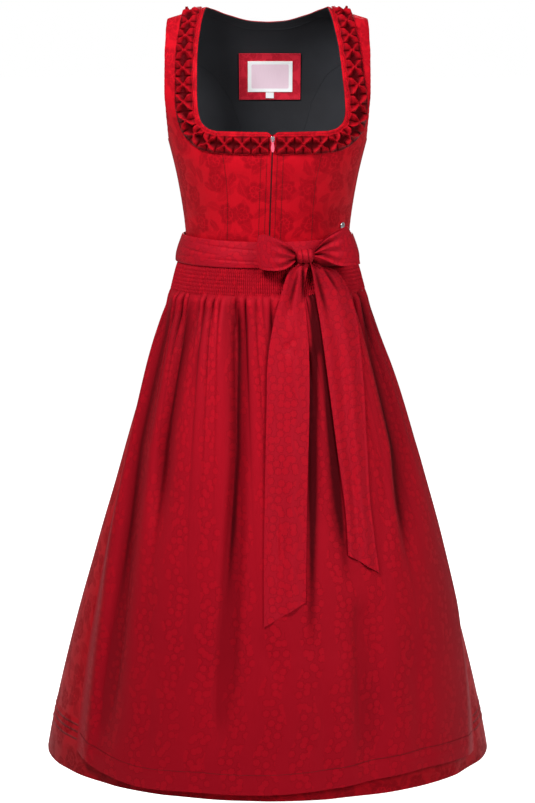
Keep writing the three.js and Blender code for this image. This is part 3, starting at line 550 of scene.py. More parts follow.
finishes = {
    "dress": patternedCloth("dressJacquard", dressFinish),
    "patch": patternedCloth("patchJacquard", patchFinish),
    "trim": patternedCloth("trimSatin", trimFinish),
    "apron": patternedCloth("apronJacquard", apronFinish),
    "tie": patternedCloth("tieJacquard", tieFinish),
    "lining": plainCloth(
        "blackLining", (0.010, 0.010, 0.0125, 1), (0.016, 0.017, 0.021, 1), 0.75, 0.03),
    "tape": plainCloth("zipTape", (0.045, 0.002, 0.004, 1), (0.025, 0.0015, 0.0025, 1), 0.85, 0.0),
    # The thread is darker than the cloth: partly its own colour, partly painted shade of the stitch
    # holes.
    "thread": plainCloth(
        "redThread", (0.085, 0.001, 0.0028, 1), (0.06, 0.0008, 0.002, 1), 0.7, 0.0),
    "label": labelMaterial(),
    "tag": plainCloth("whiteTag", (0.86, 0.86, 0.88, 1), (0.78, 0.78, 0.8, 1), 0.55),
    "metal": metalMaterial("sliderMetal", (0.72, 0.72, 0.75, 1), (0.5, 0.5, 0.53, 1), 0.22),
    "badge": metalMaterial("badgeMetal", (0.66, 0.67, 0.69, 1), (0.36, 0.37, 0.39, 1), 0.3),
    "pull": metalMaterial(
        "pullLacquer", (0.72, 0.1, 0.17, 1), (0.6, 0.07, 0.13, 1), 0.28, 0.0, 0.6),
}
print("materials ready")

# The bodice's form: a superellipse ring at each level, from the waist to the shoulder crest.

waistLevel = -334
bodiceForm = {
    "shoulderFall": 17, "neckHalf": 83, "tipHalf": 139, "shoulderLevel": 0.9992, "cloth": 1.2,
    "lining": 1.0, "layerGap": 0.4, "seamGap": 0.06, "liningGap": -0.1, "zipOpening": 2.0,
    "notchDepth": 4.0, "levelHeight": 400.0, "narrowestArmhole": 130.0, "clothRadius": 125,
    "seamRadius": 110, "neckRow": 9,
}
bodiceStations = table("level z half front back centre square", [
    [0, waistLevel, 113, -92, 88, 0, 2], [0.15, -290, 117, -98, 88, 0, 2.05],
    [0.3, -240, 125, -111, 92, 0, 2.15], [0.42, -200, 134, -121, 97, 0, 2.15],
    [0.5, -165, 144, -116, 100, 0, 2.15], [0.65, -115, 166, -97, 101, 0, 2.15],
    [0.8, -58, 170, -65, 84, 4, 2.15], [0.9, -21, 164, -36, 54, 8, 2.15],
    [0.96, -6, 160, -14, 30, 8, 2.15], [1, 0, 158, 8, 8, 8, 2.15],
])
centreLine = table("z x", [[waistLevel, 2], [-250, 4.5], [-165, 7], [-125, 5], [-73, 2], [0, -1]])


def fallOf(level, x):
    along = (np.abs(x) - bodiceForm["neckHalf"]) / (bodiceForm["tipHalf"] - bodiceForm["neckHalf"])
    return bodiceForm["shoulderFall"] * smooth(level, 0.6, 1) * np.maximum(0, along)


def bodiceRing(theta, level):
    # Sideways and depth follow powers of the sine and cosine, two over the squareness.
    # Past the crest the ring is the back's, going down again.
    past = level > 1
    theta, level = np.where(past, math.pi - theta, theta), np.where(past, 2 - level, level)
    z, half, front, back, centre, square = readAll(
        bodiceStations, "z half front back centre square", level)
    sine, cosine = np.sin(theta), np.cos(theta)
    x = half * np.sign(sine) * np.abs(sine) ** (2 / square)
    y = centre + (np.where(cosine > 0, front, back) - centre) * np.abs(cosine) ** (2 / square)
    return np.stack([x, y, z - fallOf(level, x)], -1)


def bodicePoint(theta, level, offset):
    # The ring's point moved along the cross product of its steps round and up.
    stepRound, stepUp = 0.02, 0.008
    across = bodiceRing(theta + stepRound, level) - bodiceRing(theta - stepRound, level)
    up = bodiceRing(theta, level + stepUp) - bodiceRing(theta, np.maximum(level - stepUp, 0))
    return bodiceRing(theta, level) + unit(np.cross(across, up)) * np.asarray(offset)[..., None]


def bodicePlace(x, z, isFront, flat=False):
    # Halves the range of levels until the ring's height there is the one asked for.
    x, z = np.broadcast_arrays(np.asarray(x, float), np.asarray(z, float))
    low, high = np.zeros(x.shape), np.full(x.shape, bodiceForm["shoulderLevel"])
    for unused in range(36):
        middle = (low + high) / 2
        fall = 0 if flat else fallOf(middle, x)
        below = readColumn(bodiceStations, "z", middle) - fall < z
        low, high = np.where(below, middle, low), np.where(below, high, middle)
    ratio = np.minimum(1, np.abs(x) / readColumn(bodiceStations, "half", low))
    angle = np.arcsin(ratio ** (readColumn(bodiceStations, "square", low) / 2)) * np.sign(x)
    return (angle if isFront else math.pi - angle), low


def onBodice(x, z, isFront, offset, flat=False):
    theta, level = bodicePlace(x, z, isFront, flat)
    return bodicePoint(theta, level, np.broadcast_to(np.asarray(offset, float), theta.shape))


sideSeam = 999
panelRows = {
    "front": {"nearCorner": [], "farCorner": [], "rows": table("nearX nearZ farX farZ", [
        [1, -333.6, 56, -333.6], [1, -300, 56, -300], [1, -265, 56.5, -265], [1, -232, 59, -232],
        [1, -203, 64, -203], [1, -182, 70, -182], [1, -166, 76, -165.3]])},
    "sideFront": {"nearCorner": [6], "farCorner": [5, 6], "rows": table("nearX nearZ farX farZ", [
        [56, -333.6, sideSeam, -333.6], [56, -300, sideSeam, -300],
        [56.5, -265, sideSeam, -266], [59, -232, sideSeam, -234],
        [64, -203, sideSeam, -208], [70, -182, sideSeam, -184],
        [76, -165.3, 137.4, -179.5], [88, -162, 138, -173],
        [96.5, -154, 138.4, -164], [100, -142, 139.2, -152],
        [100.5, -124, 140.2, -134], [99.5, -100, 141.4, -108], [98, -73, 141.3, -78],
        [94.5, -42, 141, -52], [90.5, -20, 140.4, -33], [87, -7, 139.6, -22.5],
        [84, 0, 139, -17]])},
    "centreBack": {"nearCorner": [9], "farCorner": [8], "rows": table("nearX nearZ farX farZ", [
        [0, -333.6, 30, -333.6], [0, -280, 32, -288], [0, -225, 36, -240],
        [0, -170, 44, -182], [0, -130, 57, -138], [0, -112, 68, -117], [0, -92, 82, -96],
        [0, -66, 108, -76.5], [0, -42, 141.4, -66], [0, -22, 141.2, -56], [28, -19.5, 141, -46],
        [54, -12, 140.4, -35], [73, -4.5, 139.8, -25.5], [84, 0, 139, -17]])},
    "sideBack": {"nearCorner": [], "farCorner": [3, 4], "rows": table("nearX nearZ farX farZ", [
        [30, -333.6, sideSeam, -333.6], [32, -288, sideSeam, -290],
        [36, -240, sideSeam, -240], [44, -182, sideSeam, -184],
        [57, -138, 137.6, -178.5], [68, -117, 138.4, -168], [82, -96, 139.4, -150],
        [108, -76.5, 141.2, -115], [141.4, -66, 141.5, -69]])},
}

bodiceCreases = [
    (-112, -318, -70, -296, 5, 0.9), (-116, -292, -82, -278, 4, 0.7),
    (-108, -262, -84, -236, 5, 0.6),
    (112, -316, 74, -292, 5, 0.9), (114, -286, 86, -270, 4, 0.6), (106, -256, 84, -232, 5, 0.6),
    (-52, -322, -20, -312, 4, 0.7), (20, -322, 50, -310, 4, 0.6),
    (-128, -196, -100, -190, 5, 0.8),
    (128, -198, 102, -188, 5, 0.8), (-60, -232, -24, -226, 7, 0.6), (28, -236, 62, -228, 7, 0.6),
]


def between(values, at, corners):
    # A smooth curve through the values at whole numbers, broken at each corner.
    edges = [0, *corners, len(values) - 1]
    result = np.zeros_like(at)
    for start, end in zip(edges[:-1], edges[1:]):
        if end <= start:
            continue
        rows = {"at": np.arange(start, end + 1.0), "value": values[start:end + 1]}
        inside = (at >= start) & (at <= end)
        result[inside] = readColumn(rows, "value", at[inside])
    return result


def borderX(x, z, side):
    lean = np.where(x < bodiceForm["narrowestArmhole"], readColumn(centreLine, "x", z), 0)
    return side * x + lean


def panelGrid(name, side, layer, step=3.0, nearEdge=None, seamGap=bodiceForm["seamGap"]):
    # Rows run from the near border to the far one, even in angle and level.
    spec = panelRows[name]
    rows, isFront = spec["rows"], name in ("front", "sideFront")
    nearX = rows["nearX"] if nearEdge is None else np.full_like(rows["nearX"], nearEdge)
    near = bodicePlace(borderX(nearX, rows["nearZ"], side), rows["nearZ"], isFront)
    far = bodicePlace(borderX(rows["farX"], rows["farZ"], side), rows["farZ"], isFront)
    spans = np.maximum(
        np.hypot(np.diff(rows["nearX"]), np.diff(rows["nearZ"])), np.abs(np.diff(rows["farZ"])))
    at = np.concatenate([
        *(i + np.arange(n) / n for i, n in enumerate(np.ceil(spans / step).astype(int))),
        [len(spans)]])
    inset = (seamGap / 2 / bodiceForm["seamRadius"]) * np.sign(far[0] - near[0])
    isSeam = nearX > bodiceForm["zipOpening"]
    t0 = between(near[0] + np.where(isSeam, inset, 0), at, spec["nearCorner"])
    t1 = between(far[0] - inset, at, spec["farCorner"])
    l0, l1 = between(near[1], at, spec["nearCorner"]), between(far[1], at, spec["farCorner"])
    share = np.linspace(0, 1, int(90 / step) + 1)
    share = mix(share, smooth(share, 0, 1), 0.35)
    theta = mix(t0[:, None], t1[:, None], share)
    level = mix(l0[:, None], l1[:, None], share)
    if name == "front" and nearEdge is None:
        notch = smooth(at, len(spans) - 0.3, len(spans))[:, None] * (1 - smooth(share, 0, 0.075))
        level = level - bodiceForm["notchDepth"] * notch / bodiceForm["levelHeight"]
    middle = bodicePoint(theta, level, np.zeros(theta.shape))
    width = np.linalg.norm(np.diff(middle, axis=1), axis=2)
    fromNear = np.concatenate([np.zeros((len(at), 1)), np.cumsum(width, 1)], 1)
    fromFar = fromNear[:, -1:] - fromNear
    x, z = middle[..., 0], middle[..., 2]
    edge = np.minimum(fromNear, fromFar)
    sink = 0.42 * np.exp(-((edge / 1.3) ** 2))
    pucker = 0.16 * np.sin(z * turn / 8.5 + np.sin(z / 17)) * np.exp(-((edge / 5) ** 2))
    dent = creaseDepth(bodiceCreases, x, z) if isFront else 0
    girth = theta * bodiceForm["clothRadius"]
    return theta, level, -sink + pucker - dent + layer, np.stack([girth, z], -1), at


def addPanel(name, side, node, layer, wall, finish, slotName, **options):
    theta, level, offset, uv, unused = panelGrid(name, side, layer, **options)
    outer = bodicePoint(theta, level, offset)
    inner = bodicePoint(theta, level, np.full(theta.shape, layer - wall))
    asSheet(clothPiece(node, outer, inner, uv, finish, slotName), outer)


def addCentreBack(node, layer, wall, finish, slotName, **options):
    # The two halves share the points of their middle column up to the neckline's lowest
    # place. Above it each has a rim of its own.
    points, faces, uvs, start = [], [], [], 0
    for side in (-1, 1):
        theta, level, offset, uv, at = panelGrid("centreBack", side, layer, **options)
        shared = int(np.argmin(np.abs(at - bodiceForm["neckRow"]))) + 1
        offset[:shared, :3] = layer
        outer = bodicePoint(theta, level, offset)
        inner = bodicePoint(theta, level, np.full(theta.shape, layer - wall))
        over = np.arange(theta.size).reshape(theta.shape) + start
        under = over + theta.size
        if side == 1:
            over[:shared, 0], under[:shared, 0] = seam, seam + theta.size
        seam = over[:shared, 0].copy()
        top, low = (
            np.concatenate([grid[0], grid[1:, -1], grid[-1, -2::-1], grid[-2:shared - 2:-1, 0]])
            for grid in (over, under))
        i, j = gridCorners(*theta.shape, False)
        half = np.concatenate([over[i, j].reshape(-1, 4), under[i, j].reshape(-1, 4)[:, ::-1],
                               np.stack([top[1:], top[:-1], low[:-1], low[1:]], -1)])
        faces.append(half if side == 1 else half[:, ::-1])
        points += [outer.reshape(-1, 3), inner.reshape(-1, 3)]
        uvs += [uv.reshape(-1, 2)] * 2
        start += 2 * theta.size
    points, faces = np.concatenate(points), np.concatenate(faces)
    if isInsideOut(points, faces):
        faces = faces[:, ::-1]
    used, corners = np.unique(faces, return_inverse=True)
    corners = corners.reshape(faces.shape).tolist()
    piece = meshPiece(camel(node), points[used], corners, np.concatenate(uvs)[faces.ravel()])
    dress(piece, finish, node, slotName)
    asSheet(piece, outer, fullness=2)


liningFace = -bodiceForm["cloth"] - bodiceForm["layerGap"]
liningInner = liningFace - bodiceForm["lining"]
layers = [
    {"prefix": "bodice", "finish": (0, bodiceForm["cloth"], "dress", "dress_cloth"),
     "options": {}, "front": {}},
    {"prefix": "lining", "finish": (liningFace, bodiceForm["lining"], "lining", "lining_cloth"),
     "options": {"seamGap": bodiceForm["liningGap"], "step": 5.0}, "front": {"nearEdge": 13.4}},
]
for layer in layers:
    prefix, finish, options = layer["prefix"], layer["finish"], layer["options"]
    for side, word in ((-1, "left"), (1, "right")):
        addPanel("front", side, f"{prefix}_front_{word}", *finish, **options, **layer["front"])
        addPanel("sideFront", side, f"{prefix}_side_front_{word}", *finish, **options)
        addPanel("sideBack", side, f"{prefix}_side_back_{word}", *finish, **options)
    addCentreBack(f"{prefix}_centre_back", *finish, **options)
print("bodice sewn")

# Stitches: short spindles laid end to end along a line on the cloth.

stitchSides = 5


def stitchPiece(name, path, normals, pitch=3.1, length=2.4, radius=0.5, finish="thread"):
    # Each spindle is three rings of five points round the line, the middle one widest.
    reach = pathReach(path)
    centres = np.arange(pitch / 2, reach[-1], pitch)
    middle, lift = resample(path, reach, centres), unit(resample(normals, reach, centres))
    ahead = unit(resample(path, reach, centres + 0.5) - resample(path, reach, centres - 0.5))
    near = np.arange(stitchSides)
    far = (near + 1) % stitchSides
    angles = (near * turn / stitchSides)[None, :, None]
    spoke = np.cos(angles) * np.cross(ahead, lift)[:, None] + np.sin(angles) * lift[:, None]
    rings = [middle[:, None] + ahead[:, None] * along * length + spoke * radius * wide
             for along, wide in ((-0.5, 0.35), (0.0, 1.0), (0.5, 0.35))]
    points = np.stack(rings, 1).reshape(-1, 3)
    faces = [near[::-1], near + 2 * stitchSides]
    for ring in (0, stitchSides):
        faces += list(np.stack([near, far, far + stitchSides, near + stitchSides], -1) + ring)
    stitch = 3 * stitchSides
    everyFace = [(face + stitch * k).tolist() for k in range(len(centres)) for face in faces]
    corners = np.concatenate(everyFace)
    piece = meshPiece(name, points, everyFace, points[corners][:, [0, 2]])
    piece.data.materials.append(finishes[finish])
    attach(piece, "dress")


def bodiceStitches(name, x, z, isFront=True, lift=0.15, flat=False, **options):
    # They stand outward on the dress and inward on the lining.
    foot = onBodice(x, z, isFront, lift, flat)
    away = onBodice(x, z, isFront, lift + math.copysign(1, lift), flat)
    stitchPiece(name, foot, away - foot, **options)


zipLine = np.linspace(-330, -171, 80)
for offset in (-15, -7, 7, 15):
    word = f"{'Left' if offset < 0 else 'Right'}{abs(offset)}"
    bodiceStitches(f"zipStitch{word}", readColumn(centreLine, "x", zipLine) + offset, zipLine)
seamZ = np.linspace(-330, -168, 80)
for side, word in ((-1, "Left"), (1, "Right")):
    rows = panelRows["front"]["rows"]
    seamX = np.interp(seamZ, rows["farZ"], rows["farX"]) + 1.8
    bodiceStitches(f"princessStitch{word}", borderX(seamX, seamZ, side), seamZ)
print("bodice stitched")

# The neckline trim: a ribbon folded into a row of four-armed stars.

trim = {"width": 25, "setback": 5, "units": 13, "endFromCentre": 4.4, "foot": 0.5, "pitch": 20.7,
        "armAngle": math.radians(48), "alongSteps": 30, "acrossSteps": 30, "stitchOut": 2.9}
neckEdge = table("x z", [
    [84, 0], [89, -12], [94.5, -42], [98, -73], [99.5, -100], [100.5, -124], [100, -142],
    [96.5, -154], [88, -162], [76, -165.3], [50, -166], [25, -166], [0, -166]])


def neckCurve(side, count=900):
    # A centripetal curve: each stretch between two points is a blend of straight ones, with
    # knots spaced by the square root of the distance.
    x = readColumn(centreLine, "x", neckEdge["z"]) + side * neckEdge["x"]
    p = np.stack([x, neckEdge["z"]], -1)
    p = np.concatenate([[2 * p[0] - p[1]], p, [2 * p[-1] - p[-2]]])
    knots = np.concatenate([[0], np.cumsum(np.linalg.norm(np.diff(p, axis=0), axis=1) ** 0.5)])
    points = []
    for i in range(1, len(p) - 2):
        t = np.linspace(knots[i], knots[i + 1], 70, endpoint=i == len(p) - 3)[:, None]
        line = lambda a, b, f, g: (f * (knots[b] - t) + g * (t - knots[a])) / (knots[b] - knots[a])
        a1, a2, a3 = (line(k, k + 1, p[k], p[k + 1]) for k in (i - 1, i, i + 1))
        points.append(line(i, i + 1, line(i - 1, i + 1, a1, a2), line(i, i + 2, a2, a3)))
    curve = np.concatenate(points)
    reach = pathReach(curve)
    curve = resample(curve, reach, np.linspace(0, reach[-1], count))
    tangent = unit(np.gradient(curve, axis=0))
    return curve, np.stack([-tangent[:, 1], tangent[:, 0]], -1) * side, reach[-1]


def starHeight(along, across, unitSeed):
    # Four thin arms rise from the pinched middle and run out to the corners. Between them
    # the cloth falls away fast at first: to a flat valley towards the next star, and to a
    # narrow mouth with a slit towards the ribbon's edge.
    pitch, half = trim["pitch"], trim["width"] / 2
    shift = unitSeed[:, :2]
    u = (along - 0.5) * pitch - shift[:, 0, None]
    w = across * half - shift[:, 1, None]
    radius = np.hypot(u, w)
    angle = np.arctan2(np.abs(w), np.abs(u))
    arm = trim["armAngle"] + unitSeed[:, 2, None] * np.sign(u * w)
    crest = mix(5.4, 7.9, smooth(radius, 0, 6)) * (1 - 0.6 * smooth(radius, 9, 15.5))
    crest = crest * (1 + unitSeed[:, 3, None])
    fall = lambda t: (1 - np.exp(-4 * t)) / (1 - math.exp(-4))
    sideways = np.clip((arm - angle) / arm, 0, 1)
    outwards = np.clip((angle - arm) / (math.pi / 2 - arm), 0, 1)
    valley = mix(3.4, 0.9, smooth(radius, 1, 5))
    mouth = mix(4.6, 2.6, smooth(radius, 0, 5)) - 1.6 * smooth(radius, 7.5, 12.5)
    slit = 1.6 * np.exp(-((u / 0.8) ** 2)) * smooth(np.abs(w), 1.5, 5)
    height = np.where(angle < arm, mix(crest, valley, fall(sideways)),
                      mix(crest, mouth, fall(outwards)) - slit)
    edge = smooth(1 - np.abs(across), 0, 0.09)
    border = smooth(np.minimum(along, 1 - along), 0, 0.07)
    return np.maximum(0.5, height * mix(0.72, 1, edge) * mix(0.42, 1, border))


def addTrim(side, word):
    curve, outward, length = neckCurve(side)
    setOut = trim["setback"] + trim["width"] / 2
    end = int(len(curve) * (1 - trim["endFromCentre"] / length))
    spine = curve[:end] + outward[:end] * setOut
    reach = pathReach(onBodice(spine[:, 0], spine[:, 1], True, 0, flat=True))
    steps, units = trim["alongSteps"], trim["units"]
    rowAt = np.arange(units * steps + 1) / steps
    place = np.interp(rowAt / units * reach[-1], reach, np.arange(end))
    foot, out = (resample(values[:end], np.arange(end), place) for values in (curve, outward))
    star = np.minimum(rowAt.astype(int), units - 1)
    along = (rowAt - star)[:, None]
    across = np.linspace(-1, 1, trim["acrossSteps"] + 1)[None, :]
    seeds = rng.normal(0, 1, (units, 4)) * [0.5, 0.6, 0.07, 0.06]
    height = starHeight(along, across, seeds[star])
    scallop = 1 + 0.045 * np.cos((along - 0.5) * turn) + 0.02 * np.sin(rowAt * 2.3)[:, None]
    spread = setOut + across * trim["width"] / 2 * scallop
    x, z = (foot[:, k, None] + out[:, k, None] * spread for k in range(2))
    theta, level = bodicePlace(x, z, True, flat=True)
    outer = bodicePoint(theta, level, trim["foot"] + height)
    inner = bodicePoint(theta, level, np.full(theta.shape, trim["foot"]))
    # Painted shade darkens the trim's low places between the stars' arms, fading out at the
    # ribbon's edges.
    hollow = (1 - smooth(height, 1.1, 5.0)) * smooth(1 - np.abs(across), 0, 0.16)
    uv = stacked(across * 20, rowAt[:, None] * 34)
    piece = clothPiece(f"neck_trim_{word}", outer, inner, uv, "trim", "trim_cloth", hollow)
    asSheet(piece, inner, fullness=1.25)


for side, word in ((-1, "left"), (1, "right")):
    addTrim(side, word)
    curve, outward, unused = neckCurve(side)
    x, z = (curve + outward * trim["stitchOut"])[6:int(len(curve) * 0.985)].T
    bodiceStitches(f"neckStitch{word.capitalize()}", x, z, flat=True, pitch=2.4, length=1.7,
                   radius=0.3)
print("trim folded")

# The skirt hangs on ellipses whose half-widths follow its height.

skirt = {"hem": -1057, "depth": 0.815, "cloth": 1.2, "gathers": 36, "gatherHeight": 2.2,
         "tucks": (-992, -1001, -1011), "tuckRise": 1.1, "lowShade": 0.16, "hemShade": 0.3,
         "lap": 0.06, "frontColumns": 170, "backColumns": 324}
skirtProfile = table("z half", [
    [-1057, 318.6], [-1024, 312.5], [-963, 299], [-904, 284.5], [-844, 268.5],
    [-785, 251.5], [-726, 234.5], [-668, 217], [-610, 200.5], [-552, 183.5], [-494, 166],
    [-466, 157], [-437, 147.5], [-409, 139], [-380, 132], [-355, 125], [-345, 119.5],
    [waistLevel, 114]])
foldHeights = {"high": -400, "middle": -600, "low": -900}
apronFolds = table("highX middleX lowX depth width start end", [
    [-126, -171, -215, 7, 13, -380, -1060], [-101, -137, -165, 7, 12, -380, -760],
    [-76, -108, -120, 5, 10, -380, -480], [-54, -62, -70, 4, 9, -380, -450],
    [-37, -40, -61, 8, 14, -385, -1030], [4, -5, -10, 4, 14, -390, -620],
    [50, 58, 66, 6, 13, -440, -780], [121, 168, 202, 8, 14, -380, -800],
    [100, 110, 126, 4, 22, -780, -1100]])
backFolds = table("highX middleX lowX depth width start end", [
    [-112, -160, -245, 9, 16, -400, -1200], [-86, -118, -176, 11, 18, -380, -1200],
    [-52, -74, -118, 8, 15, -390, -1200], [-24, -34, -48, 11, 17, -380, -1200],
    [10, 14, 18, 8, 15, -400, -1200], [38, 52, 82, 11, 18, -380, -1200],
    [70, 98, 146, 9, 16, -390, -1200], [104, 146, 216, 10, 17, -380, -1200]])


def skirtPoint(theta, z, offset):
    half = readColumn(skirtProfile, "half", z)
    x = (half + offset) * np.sin(theta)
    y = -(half * skirt["depth"] + offset) * np.cos(theta)
    return stacked(x, y, z)


def troughDepth(folds, x, z, lean=1.0):
    # Each fold lies on two straight lines that meet at the middle height. Its depth is a
    # bell across, steeper on its left by the lean, faded in at its start and out at its end.
    total = np.zeros(np.broadcast(x, z).shape)
    knee = foldHeights["middle"]
    upper, lower = ((z - knee) / (foldHeights[end] - knee) for end in ("high", "low"))
    for highX, middleX, lowX, depth, width, start, end in zip(*folds.values()):
        at = np.where(z > knee, mix(middleX, highX, upper), mix(middleX, lowX, lower))
        fade = (1 - smooth(z, start - 35, start)) * smooth(z, end, end + 160)
        away = (x - at) / width
        away = away * np.where(away < 0, lean, 1 / lean)
        total += depth * fade * np.exp(-away * away)
    return total


def tuckRise(z):
    # Each tuck lifts slowly from above and drops at its lower edge.
    rise = 0
    for edge in skirt["tucks"]:
        rise = rise + smooth(-z, -edge - 7, -edge) * (1 - smooth(-z, -edge, -edge + 0.8))
    return skirt["tuckRise"] * rise


def spacedHeights(*stops):
    # A column of even steps between the named heights.
    parts = [np.linspace(a, b, n, endpoint=False) for a, b, n in stops]
    return np.concatenate([*parts, [stops[-1][1]]])[:, None]


def addSkirt(node, middleAngle, folds, gathers, columns):
    # Half an ellipse at each height, moved out by the tucks. The back's cloth is gathered:
    # raised cosines under the waist, less its long folds. The front is a little waved.
    top = waistLevel - bodiceForm["seamGap"]
    z = spacedHeights((top, -400, 20), (-400, -960, 50), (-960, -1016, 44),
                      (-1016, skirt["hem"], 8))
    share = np.linspace(0, 1, columns + 1)[None, :]
    inset = -skirt["lap"] / readColumn(skirtProfile, "half", z)
    theta = middleAngle + mix(-math.pi / 2 + inset, math.pi / 2 - inset, share)
    x = readColumn(skirtProfile, "half", z) * np.sin(theta)
    fromSeam = np.abs(np.cos(theta))
    clear = smooth(fromSeam, 0.02, 0.25)
    offset = tuckRise(z) * smooth(fromSeam, 0.0, 0.05)
    if gathers:
        rib = (0.5 - 0.5 * np.cos(turn * gathers * share)) * (1 - smooth(-z, 366, 440))
        offset = offset + skirt["gatherHeight"] * rib * smooth(-z, 334, 346) * clear
        offset = offset - clear * troughDepth(folds, x, z)
        small = 1.6 * np.cos(turn * 19 * share + 0.8 * np.sin(9 * share)) * smooth(-z, 372, 420)
        offset = offset + clear * small * (1 - smooth(-z, 520, 760))
    else:
        swing = 2.2 * np.sin(theta * 9 + 0.6) + 1.3 * np.sin(theta * 17 - 1.1)
        offset = offset + clear * np.minimum(0, swing) * smooth(-z, 420, 760)
    outer, inner = skirtPoint(theta, z, offset), skirtPoint(theta, z, offset - skirt["cloth"])
    # Painted shade: dark lines just under the tucks' edges, darker towards the hem, and on the
    # front darker just under the apron's hem.
    tuckShade = sum(0.9 * np.exp(-(((z - edge + 1.4) / 1.5) ** 2)) for edge in skirt["tucks"])
    paintedShadeUnderApron = 0 if gathers else skirt["hemShade"] * smooth(-z, 1012, 1042) * clear
    hollow = tuckShade + skirt["lowShade"] * smooth(-z, 600, 1057) + paintedShadeUnderApron + 0 * theta
    uv = clothLengths(skirtPoint(theta, z, 0))
    piece = clothPiece(node, outer, inner, uv, "dress", "dress_cloth", hollow)
    asSheet(piece, outer)


addSkirt("skirt_front", 0, None, 0, skirt["frontColumns"])
addSkirt("skirt_back", math.pi, backFolds, skirt["gathers"], skirt["backColumns"])
print("skirt hung")

# The apron lies over the skirt's front, its head drawn into fine upright pleats.

apron = {"gap": 1.2, "cloth": 1.2, "cut": (680, 720), "pleats": 136, "perPleat": 5,
         "pleatHeight": 2.3, "stitchTop": -349, "stitchPitch": 5.2, "stitchRows": 8,
         "folds": 29, "foldHeight": 10.5, "foldStart": -388, "deepen": 2.1, "lean": 1.5,
         "ceiling": 20, "tailCeiling": 8.6, "lowShade": 0.24, "columns": 340, "hemLevel": -1046,
         "dropStart": -800, "hemStitch": -1019}
apronEdges = table("z left right", [
    [-1057, -57.5, 66], [-1030, -58, 67.5], [-935, -61, 75], [-880, -63, 79],
    [-826, -65, 84], [-700, -71, 87], [-600, -74, 87], [-500, -78, 87], [-400, -84, 87],
    [waistLevel, -86, 87]])
apronHem = table("share z", [
    [0, -1024], [0.1, -1039], [0.2, -1048], [0.31, -1046], [0.46, -1046], [0.58, -1041],
    [0.68, -1035], [0.79, -1031], [0.86, -1032], [1, -1036]])
apronFullness = table("z rise", [
    [-1057, 3], [-850, 5], [-700, 7], [-560, 8.5], [-480, 8], [-430, 6], [-405, 3.5],
    [-388, 1.4], [waistLevel, 0]])
apronCreases = [
    (-25, -820, 27, -915, 9, 2.6), (-2, -806, 44, -880, 12, -1.8), (40, -950, 56, -1004, 10, 2.0),
    (-92, -700, -108, -860, 10, 1.6), (-30, -640, -36, -820, 9, 1.8),
    (92, -640, 112, -800, 12, 1.8),
    (-150, -880, -162, -1010, 10, 1.8), (12, -560, 16, -700, 9, 1.3),
    (140, -840, 160, -980, 12, 1.5),
    (-62, -700, -92, -1070, 14, 3.2), (62, -850, 86, -1080, 13, 3.0),
    (-128, -560, -170, -900, 12, 3.4),
    (112, -700, 150, -1070, 14, 3.0), (-10, -780, -22, -1070, 13, 2.4),
    (186, -800, 215, -1070, 14, 3.0),
]

# Where the tails keep the light off the apron: along the edges that face each other, and
# in the narrow place under the knot.
tailShadow = [(61, -320, 57, -850, 5.5, 1.3), (62, -380, 104, -770, 5, 1.3),
              (56, -330, 66, -470, 7, 1.1), (80, -520, 90, -730, 8, 0.6)]
# Painted shade: a thin dark line is painted in the long folds, each with its own strength and end.
paintedFoldShade = dict(apronFolds, width=0 * apronFolds["width"] + 3.0,
                 depth=np.array([0.35, 0.4, 0.45, 0.4, 0.6, 0.45, 0.3, 0.4, 0]),
                 end=np.array([-860, -780, -560, -520, -820, -680, -760, -820, -1100]))


def smallFolds(share, z):
    # The folds that spring from the head are the size of a sine to a power below one, so
    # their valleys are sharp. Their spacing, height and reach are uneven.
    at = (share + 0.011 * np.sin(share * 41) + 0.006 * np.sin(share * 87 + 2)) * apron["folds"]
    count = np.floor(at)
    ridge = np.abs(np.sin(math.pi * at)) ** 0.6
    reach = 35 + 150 * np.sin(count * 1.7 + 0.4) ** 4
    below = -z + apron["foldStart"] + 3 * np.sin(count * 3.1)
    fade = smooth(below, -5, 12) * np.exp(-((np.maximum(0, below - 12) / reach) ** 1.4))
    strength = (0.4 + 0.6 * np.sin(count * 2.4 + 1) ** 2) * fade
    # The second value is painted shade in their valleys.
    return ridge * strength, (1 - ridge) ** 1.3 * np.sqrt(fade * strength)


def apronSurface(share, z):
    # Angles between the two side edges, and a height over the skirt: the fullness, less the
    # long folds and creases, plus the short folds, flattened where the tails hang over it.
    # Painted shade darkens the cloth in valleys, between the tails and lower down.
    left, right = readAll(apronEdges, "left right", z)
    theta = np.radians(mix(left, right, share))
    x = readColumn(skirtProfile, "half", z) * np.sin(theta)
    nearEdge = smooth(np.minimum(share, 1 - share), 0, 0.06)
    full = readColumn(apronFullness, "rise", z) * apron["deepen"]
    long = np.minimum(full, troughDepth(apronFolds, x, z, apron["lean"]) * apron["deepen"])
    fold, valley = smallFolds(share, z)
    height = full - long + fold * apron["foldHeight"] - creaseDepth(apronCreases, x, z)
    under = smooth(x, -48, -20) * (1 - smooth(x, 150, 175)) * smooth(z, -905, -855)
    ceiling = mix(apron["ceiling"], apron["tailCeiling"], under)
    height = ceiling * np.tanh(np.maximum(height, 0.2) / ceiling) * nearEdge
    # Painted shadow of the tails, painted lines in the long folds, and painted shade darker towards
    # the hem.
    paintedTailShadow = creaseDepth(tailShadow, x, z)
    line = troughDepth(paintedFoldShade, x, z, apron["lean"])
    paintedLowShade = apron["lowShade"] * smooth(-z, 400, 1020)
    hollow = 0.95 * valley + 0.42 * smooth(long, 3, 16) + line + paintedTailShadow + paintedLowShade
    return theta, height, hollow * nearEdge, nearEdge


def hemDrop(share, rows):
    # The hem dips and rises along its edge, and the drop fades out up the cloth.
    drop = readColumn(apronHem, "z", share) - apron["hemLevel"]
    return rows + drop * smooth(-rows, -apron["dropStart"], -apron["hemLevel"])


